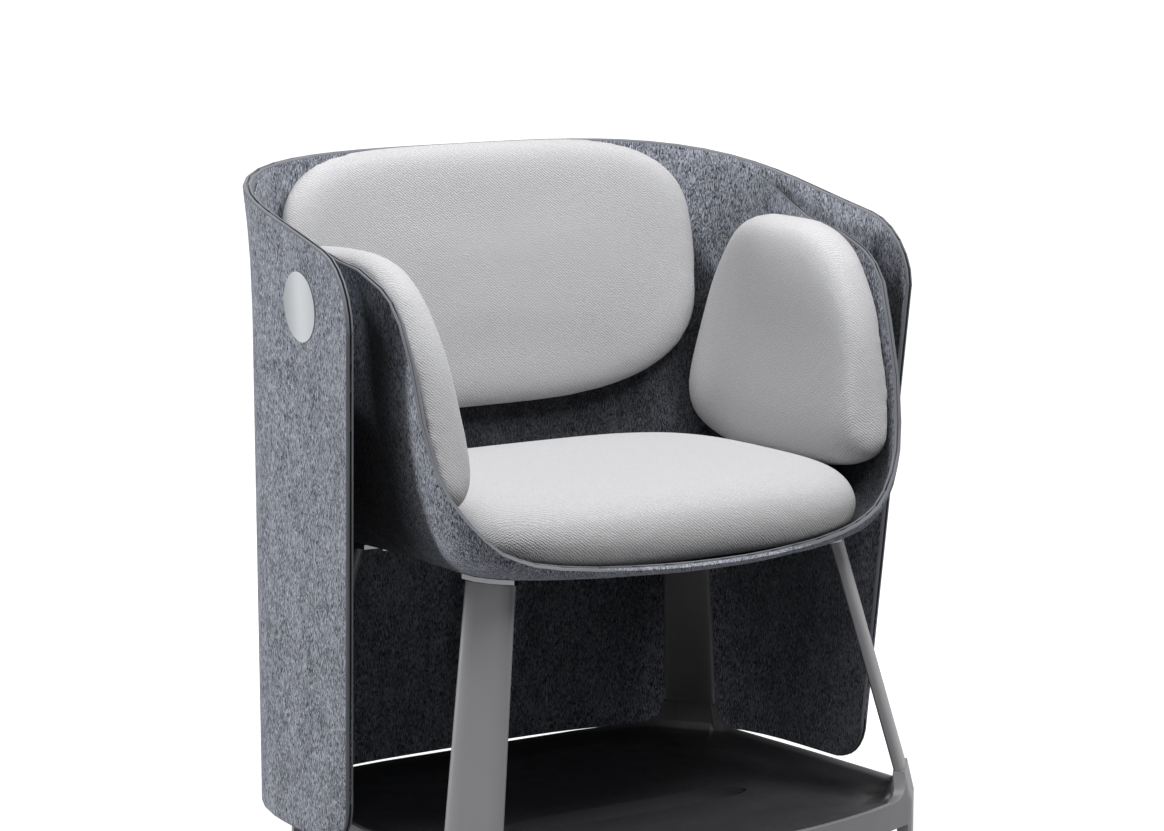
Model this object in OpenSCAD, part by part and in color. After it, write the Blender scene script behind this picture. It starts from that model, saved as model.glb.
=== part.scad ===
// Lounge chair with an acoustic screen. A felt bucket seat sits inside a felt screen that
// wraps round its back and sides. Four blade legs carry the bucket and stand on a dished
// tray with four feet. The origin is on the floor at the middle of the plan, +Z is up and
// the sitter faces -Y. Sizes are millimetres. Polar angles run from -90 at the front
// through 0 at the right side to 90 at the back, and the left half mirrors the right.

/* [Screen] */
// Half of the screen's width at its top edge, before the flare
screen_half_high = 349; // [340:1:362]
// How much nearer the middle the screen's sides are at the bottom edge
screen_draw = 5; // [0:1:12]
// From the middle of the plan back to the screen at its top edge, before the flare
screen_back_high = 280; // [274:1:290]
// Height of the bottom edge above the floor
screen_bottom = 82; // [70:1:100]
// Height of the top edge at the back
screen_top = 792; // [760:1:840]
// How far the top edge falls from the back to the front of the wings
screen_fall = 85; // [40:1:140]
// Front edge of the wings at the top, forward of the middle of the plan
wing_front_high = 100; // [80:1:120]
// How far the wings' front edge slants back from top to bottom
wing_slant = 46; // [30:1:60]
// How far each wing runs outward to its top front corner
wing_splay_high = 20; // [0:1:24]
// How far each wing runs outward to its bottom front corner
wing_splay_low = 4; // [0:1:12]
// Where the wings start to run outward, back of the middle of the plan
wing_splay_start = 70; // [30:1:100]
// Radius of the wing's top front corner
wing_corner_high = 62; // [30:1:90]
// Radius of the wing's bottom front corner
wing_corner_low = 48; // [20:1:80]
// How far the top edge turns outward
flare_out = 7; // [0:0.5:12]
// Thickness of the pressed felt screen
screen_felt = 9; // [6:0.5:12]
// Depth of the pressed rounding along the felt's edges
felt_round = 2; // [1:0.5:3]
// Depth of the seam along the middle of the felt's edges
seam_depth = 2.4; // [0.5:0.1:3]

/* [Bucket] */
// Gap between the arms and the wings' middle line at the top
wing_gap = 27; // [22:1:50]
// Forward reach of the front lip from the middle of the plan
lip_reach = 249; // [230:1:265]
// How far the front lip lies above the bucket's underside
lip_rise = 13; // [8:1:30]
// Height of the bucket's underside above the floor
pan_height = 375; // [360:1:380]
// How far the arm tops lie below the screen's top edge
arm_drop = 26; // [16:1:60]
// How far the bonded back edge lies below the screen's top edge
back_drop = 5; // [4:1:20]
// Thickness of the bucket's felt
bucket_felt = 8; // [5:0.5:10]
// Thickness of the bonded edge, skived thin
skived_felt = 1.5; // [1:0.5:4]

/* [Cushions] */
// How far the seat cushion's sides lie inside the arms
seat_side_inset = 56; // [54:1:80]
// How far the seat cushion's front lies behind the lip
seat_front_inset = 15; // [12:1:40]
// How far the seat cushion's rear lies in front of the screen
seat_rear_inset = 90; // [84:1:120]
// Height of the seat cushion's crown over its carrier
seat_loft = 84; // [60:1:90]
// How far the back cushion's sides lie inside the arms
back_side_inset = 32; // [28:1:80]
// Gap between the seat cushion's crown and the back cushion
back_low_gap = 23; // [16:1:60]
// How far the back cushion stands above the screen's top edge
back_stand = 1; // [0:1:3]
// Height of the back cushion's crown over its carrier
back_loft = 46; // [30:1:60]
// How far an arm cushion's front edge lies behind the lip at mid height
arm_front_inset = 95; // [92:1:130]
// How far an arm cushion's rear edge lies in front of the screen
arm_rear_inset = 96; // [90:1:130]
// How far an arm cushion stands above the arm
arm_stand = 9; // [0:1:10]
// Height of an arm cushion's crown over its carrier
arm_loft = 47; // [36:1:50]
// How much more an arm cushion swells over its lower edge
arm_swell = 8; // [0:1:10]
// Thickness of the moulded carriers behind the cushions
carrier_wall = 6; // [4:0.5:8]

/* [Base] */
// Width of a leg blade at the seat
leg_width_high = 54; // [44:1:60]
// Width of a leg blade at the tray
leg_width_low = 64; // [54:1:72]
// Thickness of a leg blade at its edges
leg_wall = 13; // [10:1:16]
// Crown of a leg blade's outer face
leg_crown = 3; // [0:0.5:5]
// How far inside the screen's sides a front leg's outer face is at the tray
front_leg_inset = 52; // [50:1:66]
// How far behind the lip a front leg's outer face is at the tray
front_leg_back = 40; // [37:1:54]
// How far inside the screen's sides a rear leg's outer face is at the tray
rear_leg_inset = 70; // [66:1:88]
// How far in front of the screen's back a rear leg's outer face is at the tray
rear_leg_ahead = 92; // [88:1:110]
// Turn of a front leg's outer face from straight sideways towards the front
front_leg_turn = 41; // [35:1:50]
// Turn of a rear leg's outer face from straight sideways towards the back
rear_leg_turn = 35; // [28:1:45]
// How far a front leg leans outward from the seat down to the tray, sideways
front_lean_x = 60; // [50:1:70]
// How far a front leg leans outward from the seat down to the tray, forward
front_lean_y = 56; // [45:1:62]
// How far a rear leg leans outward from the seat down to the tray, sideways
rear_lean_x = 48; // [40:1:60]
// How far a rear leg leans outward from the seat down to the tray, backward
rear_lean_y = 54; // [44:1:60]
// Height of the tray's edge above the floor
tray_edge = 92; // [84:1:100]
// Depth of the tray's dished floor below its edge
tray_dish = 10; // [6:1:16]
// Thickness of the tray's floor
tray_wall = 6; // [4:0.5:8]
// Thickness of the tray's rim
rim_wall = 7; // [5:0.5:10]
// Depth of the tray's rim below its edge
rim_depth = 30; // [22:1:34]
// How far the tray's bowed front edge reaches ahead of the lip
tray_ahead = 38; // [28:1:50]
// How far inside the screen's back the tray's rear edge is
tray_rear_inset = 50; // [44:1:58]
// How far inside the screen's sides the tray's side edges are
tray_side_inset = 40; // [36:1:52]
// Height of the fillets where the tray runs up into the legs
root_rise = 28; // [16:1:36]
// Half of the slot's length
slot_half = 162; // [120:1:180]
// Width of the slot in the tray
slot_width = 48; // [30:1:60]
// How far forward of the middle of the plan the slot's middle lies
slot_forward = 70; // [50:1:90]
// How far the slot's edge is turned down below the tray's floor
slot_lip = 10; // [4:1:14]
// Thickness of a floor glide
glide_wall = 6; // [4:0.5:8]

/* [Fittings] */
// Diameter of the round discs on the wings
disc_width = 75; // [60:1:90]
// Thickness of a disc
disc_wall = 4; // [3:0.5:6]
// Depth of the discs' recesses in the felt
disc_recess_depth = 2; // [1:0.5:3]
// How far the discs' middle lies below the arm tops
disc_drop = 47; // [44:1:70]
// How far back of the middle of the plan the discs lie
disc_back = 22; // [0:1:34]
// How far the discs lie behind the widest line of the arm cushions
stud_ahead = 6; // [0:1:20]
// Diameter of the polished spacer between arm and wing
spacer_width = 66; // [50:1:76]
// Thickness of a saddle plate between leg and bucket
saddle_wall = 5; // [3:0.5:7]
// How far a saddle plate's tongue reaches in under the bucket
tongue_reach = 34; // [24:1:44]
// Diameter of the screws through the saddle tongues
saddle_screw_width = 8; // [6:0.5:10]
// Diameter of the studs that hold the discs and wings
stud_width = 10; // [8:0.5:14]
// Diameter of the screws and dowels in the legs
fixing_width = 5; // [4:0.5:6]
// How far a dowel reaches into a leg and into the tray
dowel_reach = 14; // [8:1:16]

/* [Hidden] */

// Clearance between parts that rest on one another
seat_gap = 0.3;
// Clearance between curved faces that lie on one another
lay_gap = 1;
// Exponent of the screen's plan, a rounded rectangle
plan_power = 3.4;
// Share of the screen's height at which the top edge starts to flare
flare_share = 0.8;
// Angle at which the bucket's arms have closed up to the screen
merge_angle = 24;
// Between these polar angles the arms and the back carry their cushions
arm_angles = [-45, 80];
back_angles = [5, 90];
// Screen sizes that follow from the ones above
screen_half_low = screen_half_high - screen_draw;
wing_front_low = wing_front_high - wing_slant;
// Bucket sizes that follow: half of the width across the arms, the lip and the arm tops
arm_half = screen_half_high - wing_gap;
lip_height = pan_height + lip_rise;
arm_height = top_edge(0) - arm_drop;
// Heights of the carriers' undersides and of the pockets' roofs over the felt's outer face
carrier_lift = bucket_felt + lay_gap;
pocket_lift = carrier_lift + carrier_wall + lay_gap;
// Seat cushion: half width, length, and how far forward its middle lies
seat_half = arm_half - seat_side_inset;
seat_front = lip_reach - seat_front_inset;
seat_rear = screen_back_high - seat_rear_inset;
seat_length = seat_front + seat_rear;
seat_forward = (seat_front - seat_rear) / 2;
seat_crown = pan_height + carrier_lift + seat_loft;
// Back cushion: half width, half height and middle height
back_half = arm_half - back_side_inset;
back_low = seat_crown + back_low_gap;
back_high = screen_top + back_stand;
back_rise = (back_high - back_low) / 2;
back_middle = (back_high + back_low) / 2;
// Arm cushions: they reach down beside the seat cushion to this share of its loft
arm_low_share = 0.57;
arm_low = pan_height + carrier_lift + seat_loft * arm_low_share;
arm_high = arm_height + arm_stand;
arm_pad_rise = (arm_high - arm_low) / 2;
arm_pad_middle = (arm_high + arm_low) / 2;
// Arm cushions: their middle, from the middle of the plan, and their reach either way
arm_front = lip_reach - arm_front_inset;
arm_rear = screen_back_high - arm_rear_inset;
arm_pad_back = disc_back - stud_ahead;
arm_pad_ahead = arm_front + arm_pad_back;
arm_pad_behind = arm_rear - arm_pad_back;
// Leg places at the tray
front_leg_x = screen_half_low - front_leg_inset;
front_leg_y = lip_reach - front_leg_back;
rear_leg_x = screen_half_low - rear_leg_inset;
rear_leg_y = screen_back_high - rear_leg_ahead;
// Tray outline and floor
tray_front = lip_reach + tray_ahead;
tray_back = screen_back_high - tray_rear_inset;
tray_half = screen_half_low - tray_side_inset;
tray_floor = tray_edge - tray_dish;
// Height of the discs' middle
disc_height = arm_height - disc_drop;
// Colours
felt_colour = [0.36, 0.37, 0.40];
cloth_colour = [0.80, 0.80, 0.81];
metal_colour = [0.47, 0.47, 0.49];
bright_colour = [0.86, 0.86, 0.88];
board_colour = [0.20, 0.20, 0.22];

function mix(a, b, t) = a + (b - a) * t;
function hold(t) = min(1, max(0, t));
function ease(t) = hold(t) * hold(t) * (3 - 2 * hold(t));
function unit(v) = v / norm(v);
function power(v, e) = sign(v) * pow(abs(v), e);
function solve(f, low, high, rounds = 20) =
    let (middle = (low + high) / 2)
    rounds == 0 ? middle
    : f(middle) > 0 ? solve(f, low, middle, rounds - 1)
    : solve(f, middle, high, rounds - 1);

// Closed skin over rings of equal length. The two end rings are closed by ladders of
// quads between opposite points, or by a point in the middle of each ring.
module skin(rings, ladder = false) {
    count = len(rings);
    size = len(rings[0]);
    points = [for (ring = rings) each ring];
    sides = [for (i = [0:count - 2], j = [0:size - 1])
        let (a = i * size + j, b = i * size + (j + 1) % size)
        each [[a, b, a + size], [b, b + size, a + size]]];
    last = (count - 1) * size;
    steps = [for (j = [0:size / 2 - 2]) j];
    rungs = [for (j = steps)
        let (a = j, b = j + 1, c = size - 2 - j, d = size - 1 - j)
        each [[a, c, b], [a, d, c],
            [last + a, last + b, last + c], [last + a, last + c, last + d]]];
    middle_a = [for (k = [0:2]) sum_axis(rings[0], k) / size];
    middle_b = [for (k = [0:2]) sum_axis(rings[count - 1], k) / size];
    fans = [for (j = [0:size - 1])
        let (next = (j + 1) % size)
        each [[next, j, count * size],
            [last + j, last + next, count * size + 1]]];
    if (ladder) polyhedron(points, concat(sides, rungs), convexity = 6);
    else polyhedron(concat(points, [middle_a, middle_b]), concat(sides, fans), convexity = 6);
}
function sum_axis(ring, axis, at = 0) =
    at == len(ring) ? 0 : ring[at][axis] + sum_axis(ring, axis, at + 1);

// Screen. A station is 0 at the middle of the back, 1 at the side and 2 at the wing's
// front edge, and a share is 0 at the bottom edge and 1 at the top edge.
function flare(share) = flare_out * pow(hold((share - flare_share) / (1 - flare_share)), 2);
function screen_half(share) = mix(screen_half_low, screen_half_high, share);
function screen_back(share) = screen_back_high + flare(share);
function plan_radius(angle, half, back) =
    pow(pow(abs(cos(angle)) / half, plan_power) + pow(abs(sin(angle)) / back, plan_power),
        -1 / plan_power);
function wing_front(share) = mix(wing_front_low, wing_front_high, share);
function wing_splay(share, y) =
    (mix(wing_splay_low, wing_splay_high, share) - flare(share))
        * pow(hold((wing_splay_start - y) / (wing_splay_start + wing_front(share))), 1.5);
function screen_plan(station, share, inset) =
    let (half = screen_half(share) + flare(share) - inset,
        radius = plan_radius(90 * (1 - station), half, screen_back(share) - inset),
        x = station > 1 ? half : radius * sin(90 * station),
        y = station > 1 ? -wing_front(share) * (station - 1) : radius * cos(90 * station))
    [x + wing_splay(share, y), y];
function top_edge(y) = screen_top
    - screen_fall * (screen_back(1) - y) / (screen_back(1) + wing_front_high);
function corner_cut(radius, left) =
    left >= radius ? 0 : radius - sqrt(pow(radius, 2) - pow(radius - left, 2));
// Turn of an edge round its corner, 0 along the top or bottom and 90 down the front
function corner_turn(radius, left) = left >= radius ? 0 : asin(1 - max(0, left) / radius);
function screen_point(station, share, inset) =
    let (flat = screen_plan(station, share, inset),
        high = screen_plan(station, 1, 0), low = screen_plan(station, 0, 0),
        top = top_edge(high[1]) - felt_round
            - corner_cut(wing_corner_high, high[1] + wing_front_high),
        bottom = screen_bottom + felt_round
            + corner_cut(wing_corner_low, low[1] + wing_front_low))
    [flat[0], flat[1], mix(bottom, top, share)];
function edge_point(station, share, inset, lift) =
    let (top = share == 1, y = screen_plan(station, share, 0)[1],
        turn = corner_turn(top ? wing_corner_high : wing_corner_low,
            y + (top ? wing_front_high : wing_front_low)))
    screen_point(station, share, inset)
        + lift * [0, -sin(turn), (top ? 1 : -1) * cos(turn)];
// Places across an edge as shares of the felt's thickness, and of the seam's depth
edge_shares = [[0.2, 0], [0.36, 0], [0.45, 1], [0.55, 1], [0.64, 0], [0.8, 0]];
screen_shares = [0, 0.3, 0.6, 0.8, 0.88, 0.94, 1];
function screen_edge(station, share, outer, inner, lift, seam) =
    [for (place = edge_shares)
        edge_point(station, share, mix(outer, inner, place[0]), lift - seam * place[1])];
// One section through the felt, from the seam under it round the outer face, the top
// edge and the inner face. Thin is the share of the felt's thickness left off each face.
function screen_section(station, thin, lift, seam) =
    let (outer = screen_felt * thin, inner = screen_felt * (1 - thin),
        foot = screen_edge(station, 0, inner, outer, lift, seam))
    concat([for (i = [3:5]) foot[i]],
        [for (share = screen_shares) screen_point(station, share, outer)],
        screen_edge(station, 1, outer, inner, lift, seam),
        [for (i = [len(screen_shares) - 1:-1:0])
            screen_point(station, screen_shares[i], inner)],
        [for (i = [0:2]) foot[i]]);
// A ring moved forward, its ends drawn in towards its middle height
function ahead_by(ring, y, share) =
    let (middle = sum_axis(ring, 2) / len(ring))
    [for (p = ring) [p[0], p[1] - y, mix(p[2], middle, share)]];
function flip(ring) = [for (p = ring) [-p[0], p[1], p[2]]];
corner_start = 2 - wing_corner_high / wing_front_high;
wing_stations = concat([for (i = [1:18]) i / 18],
    [for (i = [1:2]) mix(1, corner_start, i / 2)],
    [for (i = [1:6]) mix(corner_start, 2, sin(90 * i / 6))]);

module outer_screen() {
    right = concat([for (station = wing_stations)
            screen_section(station, 0, felt_round, seam_depth)],
        [ahead_by(screen_section(2, 0.2, 0, seam_depth), felt_round, 0.004),
            ahead_by(screen_section(2, 0.36, 0, seam_depth), felt_round, 0.008),
            ahead_by(screen_section(2, 0.45, 0, 0), felt_round - seam_depth, 0.014)]);
    count = len(right);
    left = [for (i = [count - 1:-1:0]) flip(right[i])];
    color(felt_colour) difference() {
        skin(concat(left, [screen_section(0, 0, felt_round, seam_depth)], right), ladder = true);
        both_sides() {
            wing_stud(seat_gap);
            disc_recess();
        }
    }
}

// Bucket. Its rim has hand-chosen shares along the free front and arms: a polar angle,
// the share of the arms' half width and the share of the rise from lip to arm top.
rim_shares = [[-90, 0.773, 0], [-67, 0.795, 0.003], [-56, 0.848, 0.012],
    [-46, 0.913, 0.031], [-40, 0.981, 0.075], [-36.5, 1.022, 0.135],
    [-32.5, 1.059, 0.229], [-29.5, 1.071, 0.31], [-26.5, 1.081, 0.45],
    [-24.5, 1.069, 0.61], [-23, 1.059, 0.70], [-20, 1.05, 0.85], [-16, 1.031, 0.92],
    [-8, 1.005, 0.98], [0, 1, 1]];
// Share of the rim radius at which the flat pan ends and at which the wall turns up
pan_share = 0.67;
knee_shares = [[-90, 0.975], [0, 0.975], [25, 0.95], [45, 0.92], [70, 0.87], [90, 0.85]];
rim_radii = [for (s = rim_shares) [s[0],
    arm_half * s[1] + (lip_reach - arm_half * rim_shares[0][1]) * ease((-45 - s[0]) / 45)]];
rim_rises = [for (s = rim_shares) [s[0], s[2]]];
function soft_lookup(at, table) =
    (lookup(at - 1, table) + 2 * lookup(at, table) + lookup(at + 1, table)) / 4;
function inner_radius(angle) =
    plan_radius(angle, screen_half(0.97) + flare(0.97) - screen_felt - seat_gap,
        screen_back(0.97) - screen_felt - seat_gap);
function closing(angle) = ease(angle / merge_angle);
function rim_radius(angle) = angle < 0 ? soft_lookup(angle, rim_radii)
    : mix(arm_half, inner_radius(angle), closing(angle));
function rim_height(angle) = angle < 0
    ? mix(lip_height, arm_height, soft_lookup(angle, rim_rises))
    : top_edge(rim_radius(angle) * sin(angle)) - mix(arm_drop, back_drop, ease(angle / 40));
function bucket_radius(angle, rise) =
    let (rim = rim_radius(angle), back = 1 - rise)
    rim * (back * back * pan_share + 2 * rise * back * lookup(angle, knee_shares)
        + rise * rise);
function bucket_point(angle, rise) =
    let (radius = bucket_radius(angle, rise))
    [radius * cos(angle), radius * sin(angle),
        mix(pan_height, rim_height(angle), rise * rise)];
// Unit vector from the bucket's outer face to its inside
function bucket_inward(angle, rise) =
    let (step = 0.01, turn = 3,
        along = bucket_point(angle + turn, rise) - bucket_point(angle - turn, rise),
        up = bucket_point(angle, rise + step) - bucket_point(angle, rise - step))
    unit(cross(up, along));
function bucket_offset(angle, rise, depth) =
    bucket_point(angle, rise) + depth * bucket_inward(angle, rise);
function felt_depth(angle, rise) =
    mix(bucket_felt, skived_felt, closing(angle) * ease((rise - 0.55) / 0.45));
// Rise at which the bucket's outer face has this height
function rise_at(angle, z) = sqrt((z - pan_height) / (rim_height(angle) - pan_height));
// Places on the bucket, seen from the side, from the front and from above
edge_share = 0.975;
free_height = arm_height - 2 * arm_drop;
function side_place(y, z) =
    let (angle = solve(function (a) bucket_radius(a, rise_at(a, z)) * sin(a) - y,
        arm_angles[0], arm_angles[1]))
    [angle, edge_limit(rise_at(angle, z), mix(0.1, 1, ease((z - free_height) / arm_drop)))];
// Keeps a rise inside the bucket's front edge, but lets a cushion stand above the arm
function edge_limit(rise, slack) =
    rise < edge_share ? rise : edge_share + slack * (rise - edge_share);
function back_place(x, z) =
    let (angle = solve(function (a) x - bucket_radius(a, rise_at(a, z)) * cos(a),
        back_angles[0], back_angles[1]))
    [angle, rise_at(angle, z)];
function flat_norm(p) = norm([p[0], p[1]]);
function pan_rise(angle, radius, depth) =
    radius <= pan_share * rim_radius(angle) ? 0
    : solve(function (rise) flat_norm(bucket_offset(angle, rise, depth)) - radius, 0, 1);
// Height of the surface that lies this deep inside the bucket, over a place of the plan
function pan_top(x, y, depth) =
    let (angle = atan2(y, x), rise = pan_rise(angle, norm([x, y]), depth))
    rise == 0 ? pan_height + depth : bucket_offset(angle, rise, depth)[2];
bucket_angles = concat([for (i = [0:5]) -90 + 8 * i], [for (i = [0:12]) -45 + 2.75 * i],
    [for (i = [0:15]) -7 + 6 * i]);
bucket_rises = [0, 0.16, 0.3, 0.42, 0.54, 0.66, 0.78, 0.9, 1];
function loop_ring(half) = concat(half,
    [for (i = [len(half) - 2:-1:1]) [-half[i][0], half[i][1], half[i][2]]]);
function full_half(angles) = concat(angles, [90]);

// Point on the rim's edge, with a seam that fades out where the felt is skived
function rim_point(angle, share, seam) =
    let (depth = felt_depth(angle, 1), full = depth / bucket_felt)
    mix(bucket_point(angle, 1), bucket_offset(angle, 1, depth), share)
        + [0, 0, felt_round - seam * seam_depth * full];

module seat_shell() {
    angles = full_half(bucket_angles);
    outer = [for (rise = bucket_rises)
        loop_ring([for (a = angles) on_axis(a, bucket_point(a, rise))])];
    edge = [for (place = edge_shares)
        loop_ring([for (a = angles) on_axis(a, rim_point(a, place[0], place[1]))])];
    inner = [for (i = [len(bucket_rises) - 1:-1:0])
        loop_ring([for (a = angles)
            on_axis(a, bucket_offset(a, bucket_rises[i], felt_depth(a, bucket_rises[i])))])];
    color(felt_colour) difference() {
        skin(concat(outer, edge, inner));
        both_sides() wing_stud(seat_gap);
        saddle_holes();
    }
}
function on_axis(angle, p) = abs(angle) == 90 ? [0, p[1], p[2]] : p;

// Cushions. Each is a skin of rings from the middle of its back face round the drawn-in
// side to its crown. A ring has a share of the outline and a share of the loft. The back
// face has a pocket for the moulded carrier.
// Shares of a cushion's outline that its carrier covers, and the margin round it
seat_carrier_share = 0.88;
wall_carrier_share = 0.8;
pocket_margin_share = 0.02;
side_shares = [[0.94, 0], [0.98, 0.07], [0.997, 0.2], [1, 0.36], [0.988, 0.54],
    [0.955, 0.71], [0.89, 0.84], [0.77, 0.925], [0.57, 0.97], [0.3, 0.995]];
cushion_columns = 44;
function oval(turn, half, rise, low_power, high_power) =
    let (e = 2 / (sin(turn) < 0 ? low_power : high_power))
    [half * power(cos(turn), e), rise * power(sin(turn), e)];
function turns(columns) = [for (i = [0:columns - 1]) 360 * (i + 0.5) / columns];
arm_taper_ahead_share = 0.32;
arm_taper_behind_share = 0.1;
function arm_outline(turn) =
    let (p = oval(turn, 1, 1, 3.4, 3))
    [p[0] * (p[0] < 0 ? arm_pad_ahead * (1 - arm_taper_ahead_share * p[1])
        : arm_pad_behind * (1 - arm_taper_behind_share * p[1])), arm_pad_rise * p[1]];
function back_outline(turn) = oval(turn, back_half, back_rise, 3.1, 4);
function seat_outline(turn) = oval(turn, seat_half, seat_length / 2, 3.3, 3.6);

// An arm cushion swells over its lower edge, which lies beside the seat cushion
function arm_swell_at(rise, depth) = arm_swell * ease((rise / arm_pad_rise + 1) / 0.5)
    * ease((depth - pocket_lift) / (arm_loft - pocket_lift));
function arm_point(flat, depth) =
    let (place = side_place(arm_pad_back + flat[0], arm_pad_middle + flat[1]))
    bucket_offset(place[0], place[1], depth + arm_swell_at(flat[1], depth));
function back_point(flat, depth) =
    let (place = back_place(abs(flat[0]), back_middle + flat[1]),
        p = bucket_offset(place[0], place[1], depth))
    [sign(flat[0]) * p[0], p[1], p[2]];
function seat_point(flat, depth) =
    let (y = flat[1] - seat_forward, low = pan_top(abs(flat[0]), y, carrier_lift))
    [flat[0], y, max(low, pan_height + depth)];

module pad(outline, place, loft, carrier_share) {
    pocket_share = carrier_share + pocket_margin_share;
    pocket = [for (share = [0.3, 0.6, pocket_share]) [share, pocket_lift]];
    sides = [for (share = side_shares) [share[0], carrier_lift + loft * share[1]]];
    skin([for (ring = concat(pocket, [[pocket_share, carrier_lift]], sides))
        [for (turn = turns(cushion_columns)) place(outline(turn) * ring[0], ring[1])]]);
}
module carrier(outline, place, carrier_share) {
    shares = [0.25, 0.5, 0.75, 1];
    low = [for (share = shares) [share, carrier_lift]];
    high = [for (i = [3:-1:0]) [shares[i], carrier_lift + carrier_wall]];
    skin([for (ring = concat(low, high))
        [for (turn = turns(32)) place(outline(turn) * carrier_share * ring[0], ring[1])]]);
}
module right_arm_cushion() {
    color(cloth_colour)
        pad(function (t) arm_outline(t), function (p, d) arm_point(p, d),
            arm_loft, wall_carrier_share);
}
module left_arm_cushion() {
    mirror([1, 0, 0]) right_arm_cushion();
}
module back_cushion() {
    color(cloth_colour)
        pad(function (t) back_outline(t), function (p, d) back_point(p, d),
            back_loft, wall_carrier_share);
}
module seat_cushion() {
    color(cloth_colour)
        pad(function (t) seat_outline(t), function (p, d) seat_point(p, d),
            seat_loft, seat_carrier_share);
}
module right_arm_carrier() {
    color(board_colour) difference() {
        carrier(function (t) arm_outline(t), function (p, d) arm_point(p, d),
            wall_carrier_share);
        wing_stud(seat_gap);
    }
}
module left_arm_carrier() {
    mirror([1, 0, 0]) right_arm_carrier();
}
module back_cushion_carrier() {
    color(board_colour)
        carrier(function (t) back_outline(t), function (p, d) back_point(p, d),
            wall_carrier_share);
}
module seat_cushion_carrier() {
    color(board_colour) difference() {
        carrier(function (t) seat_outline(t), function (p, d) seat_point(p, d),
            seat_carrier_share);
        saddle_holes();
    }
}

// Legs. A leg has its outer face's middle at the tray, the turn of that face, and its
// lean up to the seat. A blade section is drawn across the face and out of it.
front_leg = [front_leg_x, -front_leg_y, -front_leg_turn, front_lean_x, -front_lean_y];
rear_leg = [rear_leg_x, rear_leg_y, rear_leg_turn, rear_lean_x, rear_lean_y];
root_height = tray_edge + root_rise;
leg_top = pan_height;
function leg_out(leg) = [cos(leg[2]), sin(leg[2])];
function leg_across(leg) = [-sin(leg[2]), cos(leg[2])];
function lean_share(z) = hold((z - tray_edge) / (leg_top - tray_edge));
function leg_width(z) = mix(leg_width_low, leg_width_high, lean_share(z));
function leg_face(leg, z) =
    let (lean = (z - tray_edge) / (leg_top - tray_edge) * [leg[3], leg[4]])
    [leg[0], leg[1]] - (z > tray_edge ? lean : [0, 0]);
function blade(width, out) =
    [for (turn = turns(24))
        let (across = width / 2 * power(cos(turn), 0.4))
        [across, (leg_wall - leg_crown) / 2 * (power(sin(turn), 0.4) - 1) - leg_crown
            + (sin(turn) > 0 ? leg_crown * (1 - pow(2 * across / width, 2)) : 0) + out]];
function leg_spot(leg, z, p) =
    leg_face(leg, z) + leg_across(leg) * p[0] + leg_out(leg) * p[1];
function leg_ring(leg, z) =
    [for (p = blade(leg_width(z), 0))
        let (spot = leg_spot(leg, z, p)) [spot[0], spot[1], z]];
// Point this far below the bucket's underside at a place of the plan
function under(x, y, depth) = [x, y, pan_top(x, y, -depth)];
leg_head = seat_gap + saddle_wall;
function leg_head_ring(leg) =
    [for (p = blade(leg_width(leg_top), 0))
        let (spot = leg_spot(leg, leg_top, p)) under(spot[0], spot[1], leg_head + seat_gap)];

module leg(leg) {
    color(metal_colour) difference() {
        skin([leg_ring(leg, root_height + seat_gap), leg_ring(leg, mix(root_height, leg_top, 0.33)),
            leg_ring(leg, mix(root_height, leg_top, 0.66)),
            leg_ring(leg, leg_top - 4 * saddle_wall), leg_head_ring(leg)]);
        leg_dowel_pair(leg, seat_gap);
        leg_screw_pair(leg, seat_gap);
    }
}
module front_right_leg() {
    leg(front_leg);
}
module front_left_leg() {
    mirror([1, 0, 0]) leg(front_leg);
}
module rear_right_leg() {
    leg(rear_leg);
}
module rear_left_leg() {
    mirror([1, 0, 0]) leg(rear_leg);
}

// Saddle plates: the blade's outline with a rounded tongue that reaches in under the pan
tongue_half = 13;
saddle_lip = 1.5;
function saddle_outline(leg) =
    let (width = leg_width(leg_top) / 2 + saddle_lip, back = leg_wall + saddle_lip)
    concat([for (i = [0:4]) [mix(width, -width, i / 4), saddle_lip]],
        [[-width, -back]],
        [for (turn = [-180:30:0])
            [tongue_half * cos(turn), tongue_half * sin(turn) - back - tongue_reach
                + tongue_half]],
        [[width, -back]]);
function saddle_ring(leg, share, depth) =
    let (outline = saddle_outline(leg), middle = [0, -(leg_wall + tongue_reach) / 2])
    [for (p = outline)
        let (spot = leg_spot(leg, leg_top, mix(middle, p, share)))
        under(spot[0], spot[1], depth)];
module saddle(leg) {
    color(bright_colour) difference() {
        skin([saddle_ring(leg, 0.5, leg_head), saddle_ring(leg, 1, leg_head),
            saddle_ring(leg, 1, seat_gap), saddle_ring(leg, 0.5, seat_gap)]);
        saddle_screw(leg, seat_gap);
        leg_screw_pair(leg, seat_gap);
    }
}
module front_right_saddle() {
    saddle(front_leg);
}
module front_left_saddle() {
    mirror([1, 0, 0]) saddle(front_leg);
}
module rear_right_saddle() {
    saddle(rear_leg);
}
module rear_left_saddle() {
    mirror([1, 0, 0]) saddle(rear_leg);
}

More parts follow.
